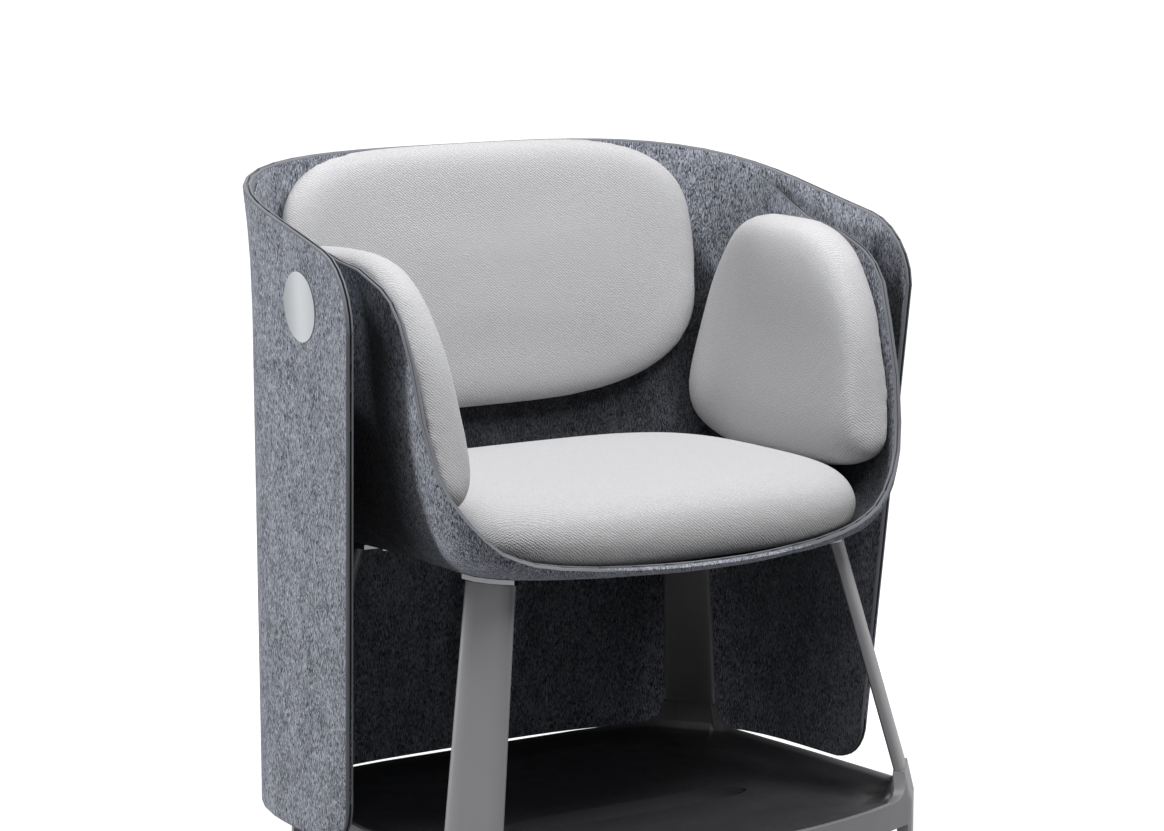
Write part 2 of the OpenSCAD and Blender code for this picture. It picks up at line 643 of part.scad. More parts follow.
// Fixings. A rod runs from one point to another, and a clearance makes it an
// eight-sided hole.
module rod(start, end, width, clear) {
    way = end - start;
    translate(start)
        rotate([0, acos(way[2] / norm(way)), atan2(way[1], way[0])])
            cylinder(d = width + 4 * clear, h = norm(way), $fn = clear > 0 ? 8 : 24);
}
function leg_core(leg, z, across) =
    let (spot = leg_spot(leg, z, [across, -(leg_wall + leg_crown / 2) / 2])) [spot[0], spot[1], z];
module leg_dowel_pair(leg, clear) {
    for (side = [-1, 1]) {
        across = side * leg_width_low / 4;
        rod(leg_core(leg, root_height - dowel_reach - clear, across),
            leg_core(leg, root_height + dowel_reach + clear, across), fixing_width, clear);
    }
}
module leg_screw_pair(leg, clear) {
    for (side = [-1, 1]) {
        core = leg_core(leg, leg_top, side * leg_width_high / 4);
        high = under(core[0], core[1], clear > 0 ? 0 : 2 * seat_gap);
        rod(leg_core(leg, leg_top - 2 * dowel_reach - clear, side * leg_width_high / 4),
            high, fixing_width, clear);
    }
}
module saddle_screw(leg, clear) {
    spot = leg_spot(leg, leg_top, [0, tongue_half - leg_wall - tongue_reach]);
    start = pan_height - leg_head - seat_gap;
    translate([spot[0], spot[1], start - clear])
        cylinder(d = saddle_screw_width + 2 * clear,
            h = leg_head + seat_gap + carrier_lift + carrier_wall + clear, $fn = 32);
    if (clear == 0)
        translate([spot[0], spot[1], start - saddle_screw_width / 2])
            cylinder(d = 2 * saddle_screw_width, h = saddle_screw_width / 2, $fn = 32);
}
module both_sides() {
    for (side = [0, 1]) mirror([side, 0, 0]) children();
}
module saddle_screws() {
    color(bright_colour) both_sides() {
        saddle_screw(front_leg, 0);
        saddle_screw(rear_leg, 0);
    }
}
module leg_screws() {
    color(bright_colour) both_sides() {
        leg_screw_pair(front_leg, 0);
        leg_screw_pair(rear_leg, 0);
    }
}
module leg_dowels() {
    color(bright_colour) both_sides() {
        leg_dowel_pair(front_leg, 0);
        leg_dowel_pair(rear_leg, 0);
    }
}
module saddle_holes() {
    both_sides() {
        saddle_screw(front_leg, seat_gap);
        saddle_screw(rear_leg, seat_gap);
    }
}

// Tray, with its outline as rays from the middle of the plan. Its rim runs up in
// fillets to the roots of the legs and down into the feet.
function leg_angle(leg, side) =
    let (p = leg_spot(leg, tray_edge, [side * leg_width_low / 2, 0])) atan2(p[1], p[0]);
front_near = leg_angle(front_leg, -1);
front_far = leg_angle(front_leg, 1);
rear_near = leg_angle(rear_leg, -1);
rear_far = leg_angle(rear_leg, 1);
root_turn = atan(root_rise / tray_half);
function corner_spot(leg, side) = leg_spot(leg, tray_edge, [side * leg_width_low / 2, 0]);
tray_outline = [[0, -tray_front], [0.2 * tray_half, -0.992 * tray_front],
    [0.4 * tray_half, -0.967 * tray_front], [0.6 * tray_half, -0.922 * tray_front],
    corner_spot(front_leg, -1), corner_spot(front_leg, 1), [tray_half, 0],
    corner_spot(rear_leg, -1), corner_spot(rear_leg, 1),
    [0.5 * tray_half, tray_back], [0, tray_back]];
function ray_hit(angle, a, b) =
    let (d = [cos(angle), sin(angle)], e = b - a, w = a[0] * e[1] - a[1] * e[0])
    w / (d[0] * e[1] - d[1] * e[0]);
function angle_of(p) = atan2(p[1], p[0]);
function tray_radius(angle) =
    let (hits = [for (i = [0:len(tray_outline) - 2])
        if (angle_of(tray_outline[i]) <= angle + 0.001
            && angle <= angle_of(tray_outline[i + 1]) + 0.001)
        ray_hit(angle, tray_outline[i], tray_outline[i + 1])])
    hits[0];
// How near a ray is to a leg: 1 within its width, falling to 0 over the fillet
function beside(angle, near, far) =
    angle < near ? 1 - hold((near - angle) / root_turn)
    : angle > far ? 1 - hold((angle - far) / root_turn) : 1;
function root_share(angle) =
    max(beside(angle, front_near, front_far), beside(angle, rear_near, rear_far));
function fillet(t) = 1 - sqrt(1 - pow(hold(t), 2));
function rim_top(angle) = tray_edge + root_rise * fillet(root_share(angle));
function rim_width(angle) = mix(rim_wall, leg_wall, ease(root_share(angle)));
function rim_foot(angle) = root_share(angle) > 0.97 ? glide_wall : tray_edge - rim_depth;
function spread(a, b, count) = [for (i = [1:count]) mix(a, b, i / count)];
tray_angles = concat([-90], spread(-90, front_near - root_turn, 6),
    spread(front_near - root_turn, front_near, 5), spread(front_near, front_far, 4),
    spread(front_far, front_far + root_turn, 5),
    spread(front_far + root_turn, rear_near - root_turn, 6),
    spread(rear_near - root_turn, rear_near, 5), spread(rear_near, rear_far, 4),
    spread(rear_far, rear_far + root_turn, 5), spread(rear_far + root_turn, 90, 6));
lean_rate = norm([front_lean_x, front_lean_y]) / (leg_top - tray_edge);
function slot_spot(angle, margin, z) =
    let (r = slot_width / 2 + margin, straight = slot_half - slot_width / 2,
        c = cos(angle), s = sin(angle), bar = power(c, 0.35))
    [straight * bar + r * c, r * s - slot_forward, z];
function tray_spot(angle, inset, z) =
    let (radius = tray_radius(angle) - inset - lean_rate * max(0, z - tray_edge))
    [radius * cos(angle), radius * sin(angle), z];
function tray_floor_spot(angle, share, z) =
    let (a = slot_spot(angle, 0, z), b = tray_spot(angle, 3 * rim_wall + root_rise, z))
    [mix(a[0], b[0], share), mix(a[1], b[1], share), z];
function tray_column(angle) =
    let (top = rim_top(angle), wall = rim_width(angle), foot = rim_foot(angle),
        hollow = 3 * rim_wall + root_rise, under_floor = tray_floor - tray_wall)
    [slot_spot(angle, 0, under_floor - slot_lip), slot_spot(angle, 0, tray_floor),
        tray_floor_spot(angle, 0.5, tray_floor), tray_floor_spot(angle, 1, tray_floor),
        tray_spot(angle, mix(wall, hollow, 0.55), mix(tray_floor, top, 0.1)),
        tray_spot(angle, mix(wall, hollow, 0.2), mix(tray_floor, top, 0.4)),
        tray_spot(angle, wall, top), tray_spot(angle, 0, top),
        tray_spot(angle, 0, tray_edge - rim_wall), tray_spot(angle, 0, foot),
        tray_spot(angle, wall, foot), tray_spot(angle, wall, under_floor - tray_wall),
        tray_floor_spot(angle, 1, under_floor), slot_spot(angle, tray_wall, under_floor),
        slot_spot(angle, tray_wall, under_floor - slot_lip)];

module base_tray() {
    half = [for (a = tray_angles) tray_column(a)];
    count = len(half);
    columns = concat(half,
        [for (i = [count - 2:-1:1]) [for (p = half[i]) [-p[0], p[1], p[2]]]]);
    size = len(columns[0]);
    total = len(columns);
    color(metal_colour) difference() {
        polyhedron([for (column = columns) each column],
            [for (i = [0:total - 1], j = [0:size - 1])
                let (a = i * size + j, b = i * size + (j + 1) % size,
                    c = ((i + 1) % total) * size + (j + 1) % size,
                    d = ((i + 1) % total) * size + j)
                each [[a, b, c], [a, c, d]]],
            convexity = 8);
        both_sides() {
            leg_dowel_pair(front_leg, seat_gap);
            leg_dowel_pair(rear_leg, seat_gap);
        }
    }
}

// Glides under the feet
module glide(leg) {
    middle = leg_spot(leg, tray_edge, [0, -leg_wall / 2]);
    color(board_colour)
        translate([middle[0], middle[1], 0])
            rotate([0, 0, leg[2] + 90])
                linear_extrude(height = glide_wall - seat_gap)
                    square([leg_width_low - leg_wall, leg_wall - 2 * seat_gap], center = true);
}
module front_right_glide() {
    glide(front_leg);
}
module front_left_glide() {
    mirror([1, 0, 0]) glide(front_leg);
}
module rear_right_glide() {
    glide(rear_leg);
}
module rear_left_glide() {
    mirror([1, 0, 0]) glide(rear_leg);
}

// Discs on the wings and spacers between arm and wing, on one axis on each side, square
// to the screen. A disc's stud runs in through wing, spacer and arm to the arm's carrier.
function wing_spot(y, z) =
    let (share = (z - screen_bottom) / (top_edge(0) - screen_bottom))
    [screen_half(share) + flare(share) + wing_splay(share, y), y, z];
disc_spot = wing_spot(disc_back, disc_height);
disc_axis = unit(cross(
    wing_spot(disc_back + disc_width / 2, disc_height)
        - wing_spot(disc_back - disc_width / 2, disc_height),
    wing_spot(disc_back, disc_height + disc_width / 2)
        - wing_spot(disc_back, disc_height - disc_width / 2)));
disc_place = side_place(disc_back, disc_height);
stud_reach = disc_spot[0]
    - bucket_offset(disc_place[0], disc_place[1], carrier_lift + carrier_wall)[0];
// How far in from the wing's outer face the arm comes nearest, round the spacer's edge
spacer_reach = min([for (turn = [0:45:315])
    let (spot = [0, cos(turn), sin(turn)] * spacer_width / 2 + disc_spot,
        place = side_place(spot[1], spot[2]))
    (disc_spot - bucket_point(place[0], place[1])) * disc_axis]) - seat_gap;
module across(from, to, width, sides = 48) {
    start = disc_spot + from * disc_axis;
    translate(start)
        rotate([0, acos(disc_axis[2]), atan2(disc_axis[1], disc_axis[0])])
            cylinder(d = width, h = to - from, $fn = sides);
}
module wing_stud(clear) {
    across(-stud_reach - clear, 0, stud_width + 2 * clear, 32);
}
module disc_recess() {
    across(-disc_recess_depth, disc_wall, disc_width + 2 * seat_gap);
}
module right_wing_disc() {
    color(bright_colour) {
        across(seat_gap - disc_recess_depth, disc_wall - disc_recess_depth, disc_width);
        wing_stud(0);
    }
}
module left_wing_disc() {
    mirror([1, 0, 0]) right_wing_disc();
}
module right_wing_spacer() {
    color(bright_colour) difference() {
        across(-spacer_reach, -screen_felt - lay_gap, spacer_width);
        wing_stud(seat_gap);
    }
}
module left_wing_spacer() {
    mirror([1, 0, 0]) right_wing_spacer();
}

outer_screen();
seat_shell();
seat_cushion();
back_cushion();
left_arm_cushion();
right_arm_cushion();
seat_cushion_carrier();
back_cushion_carrier();
left_arm_carrier();
right_arm_carrier();
front_left_leg();
front_right_leg();
rear_left_leg();
rear_right_leg();
front_left_saddle();
front_right_saddle();
rear_left_saddle();
rear_right_saddle();
base_tray();
front_left_glide();
front_right_glide();
rear_left_glide();
rear_right_glide();
left_wing_disc();
right_wing_disc();
left_wing_spacer();
right_wing_spacer();
saddle_screws();
leg_screws();
leg_dowels();
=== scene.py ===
import math

import bpy
import numpy
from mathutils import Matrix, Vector
from mathutils.bvhtree import BVHTree


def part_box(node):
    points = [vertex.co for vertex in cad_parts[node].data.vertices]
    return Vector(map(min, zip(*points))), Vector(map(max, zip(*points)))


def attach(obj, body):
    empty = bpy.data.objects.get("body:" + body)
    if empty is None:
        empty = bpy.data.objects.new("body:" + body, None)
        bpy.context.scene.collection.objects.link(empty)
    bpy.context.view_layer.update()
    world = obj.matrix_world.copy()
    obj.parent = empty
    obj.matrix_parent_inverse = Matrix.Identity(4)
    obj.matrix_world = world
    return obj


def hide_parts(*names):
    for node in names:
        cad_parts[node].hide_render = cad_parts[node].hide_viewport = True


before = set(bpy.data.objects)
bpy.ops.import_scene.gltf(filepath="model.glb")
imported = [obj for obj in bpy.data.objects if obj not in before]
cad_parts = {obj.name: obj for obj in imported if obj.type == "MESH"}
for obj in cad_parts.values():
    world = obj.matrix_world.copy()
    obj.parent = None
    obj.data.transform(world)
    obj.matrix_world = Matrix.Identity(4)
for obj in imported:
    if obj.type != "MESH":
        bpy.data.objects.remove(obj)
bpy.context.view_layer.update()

bl_info = {
    "name": "Acoustic Lounge Chair",
    "version": (1, 0, 0),
    "blender": (4, 5, 0),
    "location": "View3D > Sidebar > Lounge Chair",
    "description": "Dresses the lounge chair with felt, woven cushions and painted metal",
    "category": "Object",
}

PADS = ("seat_cushion", "back_cushion", "left_arm_cushion", "right_arm_cushion")
LEGS = ("front_left_leg", "front_right_leg", "rear_left_leg", "rear_right_leg")
SADDLES = ("front_left_saddle", "front_right_saddle", "rear_left_saddle", "rear_right_saddle")
CARRIERS = ("seat_cushion_carrier", "back_cushion_carrier", "left_arm_carrier",
            "right_arm_carrier")
GLIDES = ("front_left_glide", "front_right_glide", "rear_left_glide", "rear_right_glide")
FIXINGS = ("saddle_screws", "leg_screws", "leg_dowels")

# Metres. Faces narrower than EDGE_FACE are the felt's pressed edge. Of these, the ones narrower
# than SEAM_FACE, or with another face within SEAM_REACH in front of them, are its seam. Its
# near-black colour is partly the seam's own dark and partly painted shade in its groove
EDGE_FACE = 0.003
SEAM_FACE = 0.00095
SEAM_REACH = 0.003
# Felt this near the screen is bonded to it, and felt this near a disc belongs to its recess
BOND_REACH = 0.006
DISC_MARGIN = 0.005

# Rays that tell how open a point lies: how many, how far and from how high over the surface
RAY_COUNT = 40
RAY_REACH = 0.45
RAY_LIFT = 0.002
# Painted shade: surfaces that little room light reaches are darkened, down to at least this share
# of their colour
FELT_SHADE_LEAST = 0.12
LEG_SHADE_LEAST = 0.6
TRAY_SHADE_LEAST = 0.35

# Height of the grain in the paint, and how far below the tray's top the painted shade on its dish
# ends
PAINT_RELIEF = 0.00006
DISH_SHADE_DROP = 0.028

# The point that all lamps are turned to
LAMP_AIM = (0, 0, 0.45)


# Sizes and colours that a user would change

class LoungeFelt(bpy.types.PropertyGroup):
    colour: bpy.props.FloatVectorProperty(
        name="Felt", description="Colour of the felt between its flecks",
        subtype="COLOR", size=3, min=0, max=1, default=(0.158, 0.168, 0.205))
    light: bpy.props.FloatVectorProperty(
        name="Light Flecks", description="Colour of the pale fibres",
        subtype="COLOR", size=3, min=0, max=1, default=(0.58, 0.61, 0.69))
    dark: bpy.props.FloatVectorProperty(
        name="Dark Flecks", description="Colour of the dark fibres",
        subtype="COLOR", size=3, min=0, max=1, default=(0.022, 0.024, 0.033))
    edge: bpy.props.FloatVectorProperty(
        name="Edge", description="Colour of the pressed lips along the felt's edges",
        subtype="COLOR", size=3, min=0, max=1, default=(0.150, 0.156, 0.175))
    # The seam colour is partly the seam's own dark and partly painted shade in its groove
    seam: bpy.props.FloatVectorProperty(
        name="Seam", description="Colour of the seam along the felt's edges",
        subtype="COLOR", size=3, min=0, max=1, default=(0.018, 0.021, 0.026))
    fleck_width: bpy.props.FloatProperty(
        name="Fleck Width", description="Width of a tuft of fibres",
        subtype="DISTANCE", unit="LENGTH", default=0.0012, min=0.0005, max=0.01)
    fleck_length: bpy.props.FloatProperty(
        name="Fleck Length", description="Upright length of a tuft of fibres",
        subtype="DISTANCE", unit="LENGTH", default=0.0060, min=0.001, max=0.03)
    relief: bpy.props.FloatProperty(
        name="Relief", description="Height of the fibres' relief",
        subtype="DISTANCE", unit="LENGTH", default=0.0005, min=0, max=0.003)


class LoungeCloth(bpy.types.PropertyGroup):
    colour: bpy.props.FloatVectorProperty(
        name="Cloth", description="Colour of the cushion cloth",
        subtype="COLOR", size=3, min=0, max=1, default=(0.60, 0.598, 0.61))
    # Painted shade: the darker colour between the threads stands for the shade in the weave's
    # hollows
    shade: bpy.props.FloatVectorProperty(
        name="Cloth Hollows", description="Colour between the threads",
        subtype="COLOR", size=3, min=0, max=1, default=(0.43, 0.428, 0.44))
    pitch: bpy.props.FloatProperty(
        name="Thread Pitch", description="Distance from one rib of the weave to the next",
        subtype="DISTANCE", unit="LENGTH", default=0.0025, min=0.001, max=0.01)
    relief: bpy.props.FloatProperty(
        name="Relief", description="Height of the weave",
        subtype="DISTANCE", unit="LENGTH", default=0.0005, min=0, max=0.002)


class LoungePads(bpy.types.PropertyGroup):
    voxel: bpy.props.FloatProperty(
        name="Voxel", description="Size of the voxels that the cushions are remeshed with",
        subtype="DISTANCE", unit="LENGTH", default=0.005, min=0.004, max=0.01)
    taut: bpy.props.FloatProperty(
        name="Taut", description="Share by which the cover is cut smaller than its filling",
        default=0.05, min=0, max=0.3)
    pressure: bpy.props.FloatProperty(
        name="Pressure", description="Pressure of the filling", default=4, min=0, max=20)
    swell: bpy.props.FloatProperty(
        name="Swell", description="Furthest that a point of a cushion moves when filled",
        subtype="DISTANCE", unit="LENGTH", default=0.004, min=0, max=0.03)
    fill: bpy.props.FloatProperty(
        name="Fill", description="How far the whole cover is lifted over its filling",
        subtype="DISTANCE", unit="LENGTH", default=0.0026, min=0, max=0.01)
    bed: bpy.props.FloatProperty(
        name="Bed", description="Depth over the felt within which a cushion lies still",
        subtype="DISTANCE", unit="LENGTH", default=0.012, min=0, max=0.03)


class LoungeMetal(bpy.types.PropertyGroup):
    paint: bpy.props.FloatVectorProperty(
        name="Paint", description="Colour of the painted legs and tray",
        subtype="COLOR", size=3, min=0, max=1, default=(0.238, 0.233, 0.245))
    # Painted shade: the dark colour laid on the tray's dished floor and round its slot, where
    # shade falls
    dish: bpy.props.FloatVectorProperty(
        name="Dish", description="Colour of the tray's dished floor",
        subtype="COLOR", size=3, min=0, max=1, default=(0.052, 0.052, 0.058))
    disc: bpy.props.FloatVectorProperty(
        name="Discs", description="Colour of the satin discs",
        subtype="COLOR", size=3, min=0, max=1, default=(0.43, 0.455, 0.475))
    polish: bpy.props.FloatVectorProperty(
        name="Polished", description="Colour of the polished saddles and spacers",
        subtype="COLOR", size=3, min=0, max=1, default=(0.16, 0.165, 0.175))
    steel: bpy.props.FloatVectorProperty(
        name="Steel", description="Colour of screws and dowels",
        subtype="COLOR", size=3, min=0, max=1, default=(0.42, 0.42, 0.43))
    rubber: bpy.props.FloatVectorProperty(
        name="Rubber", description="Colour of the floor glides",
        subtype="COLOR", size=3, min=0, max=1, default=(0.020, 0.020, 0.022))
    board: bpy.props.FloatVectorProperty(
        name="Carriers", description="Colour of the moulded carriers",
        subtype="COLOR", size=3, min=0, max=1, default=(0.032, 0.032, 0.036))


class LoungeStage(bpy.types.PropertyGroup):
    azimuth: bpy.props.FloatProperty(
        name="Azimuth", description="Turn of the camera from the front towards the left side",
        subtype="ANGLE", unit="ROTATION", default=math.radians(33.853))
    elevation: bpy.props.FloatProperty(
        name="Elevation", description="Height of the camera as an angle",
        subtype="ANGLE", unit="ROTATION", default=math.radians(9.012))
    distance: bpy.props.FloatProperty(
        name="Distance", description="Distance from the camera to what it looks at",
        subtype="DISTANCE", unit="LENGTH", default=4.1616)
    target: bpy.props.FloatVectorProperty(
        name="Target", description="Point that the camera looks at",
        subtype="XYZ", unit="LENGTH", size=3, default=(0.0, 0.018, 0.510))
    lens: bpy.props.FloatProperty(
        name="Lens", description="Focal length in millimetres on a sensor 36 mm wide",
        default=116.51, min=10, max=400)
    side_power: bpy.props.FloatProperty(
        name="Side Lamp", description="Power of the soft lamp at the left",
        unit="POWER", default=58, min=0)
    top_power: bpy.props.FloatProperty(
        name="Top Lamp", description="Power of the large soft lamp overhead",
        unit="POWER", default=42, min=0)
    front_power: bpy.props.FloatProperty(
        name="Front Lamp", description="Power of the soft lamp high in front",
        unit="POWER", default=42, min=0)
    room_level: bpy.props.FloatProperty(
        name="Room Light", description="Level of the light from all round",
        default=0.05, min=0, max=2)


class LoungeChair(bpy.types.PropertyGroup):
    felt: bpy.props.PointerProperty(type=LoungeFelt, name="Felt", description="Felt")
    cloth: bpy.props.PointerProperty(type=LoungeCloth, name="Cloth", description="Cloth")
    pads: bpy.props.PointerProperty(type=LoungePads, name="Cushions", description="Cushions")
    metal: bpy.props.PointerProperty(type=LoungeMetal, name="Metal", description="Metal")
    stage: bpy.props.PointerProperty(type=LoungeStage, name="Stage", description="Stage")


# Node groups for effects that several materials share

class Wiring:
    """Short calls that add a node to a tree, set its sockets and link it."""

    def __init__(self, tree):
        self.tree = tree

    def node(self, kind, **settings):
        made = self.tree.nodes.new(kind)
        for name, value in settings.items():
            setattr(made, name, value)
        return made

    def feed(self, socket, value):
        if isinstance(value, bpy.types.NodeSocket):
            self.tree.links.new(value, socket)
        else:
            socket.default_value = value

    def math(self, operation, first, second=0.0):
        made = self.node("ShaderNodeMath", operation=operation)
        self.feed(made.inputs[0], first)
        self.feed(made.inputs[1], second)
        return made.outputs[0]

    def parts(self, vector):
        """The three components of a vector."""
        made = self.node("ShaderNodeSeparateXYZ")
        self.feed(made.inputs[0], vector)
        return made.outputs

    def joined(self, x, y, z):
        """A vector, or a colour, with these three components."""
        made = self.node("ShaderNodeCombineXYZ")
        for socket, value in zip(made.inputs, (x, y, z)):
            self.feed(socket, value)
        return made.outputs[0]

    def moved(self, vector, offset):
        made = self.node("ShaderNodeVectorMath", operation="ADD")
        self.feed(made.inputs[0], vector)
        self.feed(made.inputs[1], offset)
        return made.outputs[0]

    def scaled(self, vector, x, y, z):
        made = self.node("ShaderNodeVectorMath", operation="MULTIPLY")
        self.feed(made.inputs[0], vector)
        self.feed(made.inputs[1], self.joined(x, y, z))
        return made.outputs[0]

    def noise(self, vector, scale, detail=2.0, roughness=0.5):
        made = self.node("ShaderNodeTexNoise")
        self.feed(made.inputs["Vector"], vector)
        self.feed(made.inputs["Scale"], scale)
        self.feed(made.inputs["Detail"], detail)
        self.feed(made.inputs["Roughness"], roughness)
        return made.outputs["Fac"]

    def ramp(self, value, low, high, low_out=0.0, high_out=1.0):
        made = self.node("ShaderNodeMapRange", interpolation_type="SMOOTHSTEP")
        for name, setting in (("Value", value), ("From Min", low), ("From Max", high),
                              ("To Min", low_out), ("To Max", high_out)):
            self.feed(made.inputs[name], setting)
        return made.outputs["Result"]

    def mixed(self, share, first, second, blend="MIX"):
        """Two colours mixed. The node's colours are its sockets 6 and 7, and its result 2."""
        made = self.node("ShaderNodeMix", data_type="RGBA", blend_type=blend)
        self.feed(made.inputs[0], share)
        self.feed(made.inputs[6], first)
        self.feed(made.inputs[7], second)
        return made.outputs[2]


def new_group(name, inputs, outputs):
    """An empty shader node group with named sockets: its tree, wiring, inputs and outputs."""
    group = bpy.data.node_groups.new(name, "ShaderNodeTree")
    for label, kind, value in inputs:
        socket = group.interface.new_socket(name=label, in_out="INPUT", socket_type=kind)
        if value is not None:
            socket.default_value = value
    for label, kind in outputs:
        group.interface.new_socket(name=label, in_out="OUTPUT", socket_type=kind)
    wiring = Wiring(group)
    start = wiring.node("NodeGroupInput")
    end = wiring.node("NodeGroupOutput")
    return group, wiring, start.outputs, end.inputs


def felt_group():
    """Pressed felt: upright pale and dark tufts over a mottled ground."""
    group, w, given, out = new_group(
        "Pressed Felt",
        [("Vector", "NodeSocketVector", None),
         ("Ground", "NodeSocketColor", (0.2, 0.2, 0.22, 1)),
         ("Light", "NodeSocketColor", (0.5, 0.5, 0.55, 1)),
         ("Dark", "NodeSocketColor", (0.05, 0.05, 0.06, 1)),
         ("Across", "NodeSocketFloat", 450.0),
         ("Along", "NodeSocketFloat", 130.0)],
        [("Color", "NodeSocketColor"), ("Roughness", "NodeSocketFloat"),
         ("Height", "NodeSocketFloat")])
    vector = given["Vector"]
    across = given["Across"]
    tufts = w.scaled(vector, across, across, given["Along"])
    wander = w.noise(w.scaled(vector, 60.0, 60.0, 60.0), scale=1.0, detail=1.0)
    tufts = w.moved(tufts, w.scaled(wander, 5.0, 5.0, 1.5))
    pale = w.noise(tufts, scale=1.0, detail=3.0, roughness=0.65)
    elsewhere = w.moved(tufts, (31.7, 12.1, 47.3))
    deep = w.noise(elsewhere, scale=1.15, detail=3.0, roughness=0.65)
    cloud = w.noise(w.scaled(vector, 26.0, 26.0, 15.0), scale=1.0)
    patch = w.noise(w.scaled(vector, 120.0, 120.0, 70.0), scale=1.0)
    mottled_share = w.ramp(w.math("ADD", cloud, patch), 0.75, 1.25, high_out=0.5)
    mottled = w.mixed(mottled_share, given["Ground"], given["Light"])
    pale_share = w.ramp(pale, 0.475, 0.585, high_out=0.95)
    lit = w.mixed(pale_share, mottled, given["Light"])
    dark_share = w.ramp(deep, 0.485, 0.595, high_out=0.95)
    w.feed(out["Color"], w.mixed(dark_share, lit, given["Dark"]))
    fibre = w.noise(tufts, scale=3.2, roughness=0.6)
    w.feed(out["Roughness"], w.ramp(fibre, 0.2, 0.8, low_out=0.84, high_out=1.0))
    w.feed(out["Height"], w.math("ADD", w.math("MULTIPLY", pale, 0.6),
                                 w.math("MULTIPLY", fibre, 0.4)))
    return group


def painted_shade_group():
    """Painted shade: darkens a colour where little light from the room comes in."""
    group, w, given, out = new_group(
        "Painted Shade",
        [("Color", "NodeSocketColor", (0.2, 0.2, 0.2, 1)),
         ("Open", "NodeSocketFloat", 1.0),
         ("Least", "NodeSocketFloat", 0.15)],
        [("Color", "NodeSocketColor")])
    closed = 0.3
    wide_open = 0.9
    level = w.ramp(given["Open"], closed, wide_open, low_out=given["Least"])
    grey = w.joined(level, level, level)
    w.feed(out["Color"], w.mixed(1.0, given["Color"], grey, "MULTIPLY"))
    return group


def weave_group():
    """Small raised ribs in staggered rows, laid on a surface from three sides, with painted shade
    in the low parts between them.
    """
    group, w, given, out = new_group(
        "Ribbed Weave",
        [("Vector", "NodeSocketVector", None),
         ("Facing", "NodeSocketVector", None),
         ("Thread", "NodeSocketColor", (0.6, 0.6, 0.6, 1)),
         ("Hollow Shade", "NodeSocketColor", (0.4, 0.4, 0.4, 1)),
         ("Pitch", "NodeSocketFloat", 0.003)],
        [("Color", "NodeSocketColor"), ("Roughness", "NodeSocketFloat"),
         ("Height", "NodeSocketFloat")])
    place = w.parts(given["Vector"])
    facing = w.parts(given["Facing"])
    turn = w.math("DIVIDE", 2 * math.pi, given["Pitch"])
    scatter = 8.5
    sharpness = 6.0
    above_zero = 0.0001
    wander = w.math("SUBTRACT", w.noise(given["Vector"], scale=260.0), 0.5)
    drift = w.math("MULTIPLY", wander, scatter)

    def leaning(u, v, across, up):
        """The phase of rows that lean by these two shares."""
        slope = w.math("ADD", w.math("MULTIPLY", u, across), w.math("MULTIPLY", v, up))
        return w.math("MULTIPLY", slope, turn)

    def ribs(u, v):
        """Rows of ribs, each broken up by rows that lean the other way."""
        row = w.math("SINE", w.math("ADD", leaning(u, v, 0.65, 0.75), drift))
        gap = w.math("SINE", w.math("SUBTRACT", leaning(u, v, 0.90, -0.35), drift))
        broken = w.math("ADD", w.math("MULTIPLY", gap, 0.5), 0.5)
        return w.math("MULTIPLY", row, broken)

    total = None
    weight = None
    for axis, (u, v) in enumerate(((1, 2), (0, 2), (0, 1))):
        share = w.math("POWER", w.math("ABSOLUTE", facing[axis]), sharpness)
        rows = w.math("MULTIPLY", ribs(place[u], place[v]), share)
        total = rows if total is None else w.math("ADD", total, rows)
        weight = share if weight is None else w.math("ADD", weight, share)
    rows = w.math("DIVIDE", total, w.math("ADD", weight, above_zero))
    yarn = w.noise(given["Vector"], scale=900.0)
    height = w.math("ADD", rows, w.math("MULTIPLY", yarn, 0.25))
    # Painted shade: the low parts of the weave take the darker colour between the threads
    thread_share = w.ramp(height, -0.35, 0.6)
    w.feed(out["Color"], w.mixed(thread_share, given["Hollow Shade"], given["Thread"]))
    w.feed(out["Roughness"], w.ramp(height, -0.4, 0.7, low_out=0.96, high_out=0.80))
    w.feed(out["Height"], height)
    return group


def grain_group():
    """Fine grain of a painted, brushed or moulded surface, with faint wear and dust."""
    group, w, given, out = new_group(
        "Fine Grain",
        [("Vector", "NodeSocketVector", None),
         ("Base", "NodeSocketColor", (0.2, 0.2, 0.2, 1)),
         ("Worn", "NodeSocketColor", (0.3, 0.3, 0.3, 1)),
         ("Grain", "NodeSocketFloat", 1500.0),
         ("Smooth", "NodeSocketFloat", 0.4),
         ("Rough", "NodeSocketFloat", 0.55)],
        [("Color", "NodeSocketColor"), ("Roughness", "NodeSocketFloat"),
         ("Height", "NodeSocketFloat")])
    vector = given["Vector"]
    fine = w.noise(vector, scale=given["Grain"])
    broad = w.noise(vector, scale=9.0, detail=3.0, roughness=0.6)
    smear = w.noise(w.scaled(vector, 34.0, 34.0, 12.0), scale=1.0, detail=3.0, roughness=0.6)
    worn_share = w.math("MULTIPLY", w.ramp(broad, 0.35, 0.75), 0.35)
    w.feed(out["Color"], w.mixed(worn_share, given["Base"], given["Worn"]))
    spread = w.math("ADD", w.math("MULTIPLY", smear, 0.6), w.math("MULTIPLY", fine, 0.4))
    w.feed(out["Roughness"], w.ramp(spread, 0.3, 0.7, given["Smooth"], given["Rough"]))
    w.feed(out["Height"], fine)
    return group


def shared(name, build):
    """The node group of this name, built the first time it is asked for."""
    return bpy.data.node_groups.get(name) or build()


# Materials

def opaque(colour):
    """The colour with full alpha, as a colour socket takes it."""
    return (colour[0], colour[1], colour[2], 1.0)


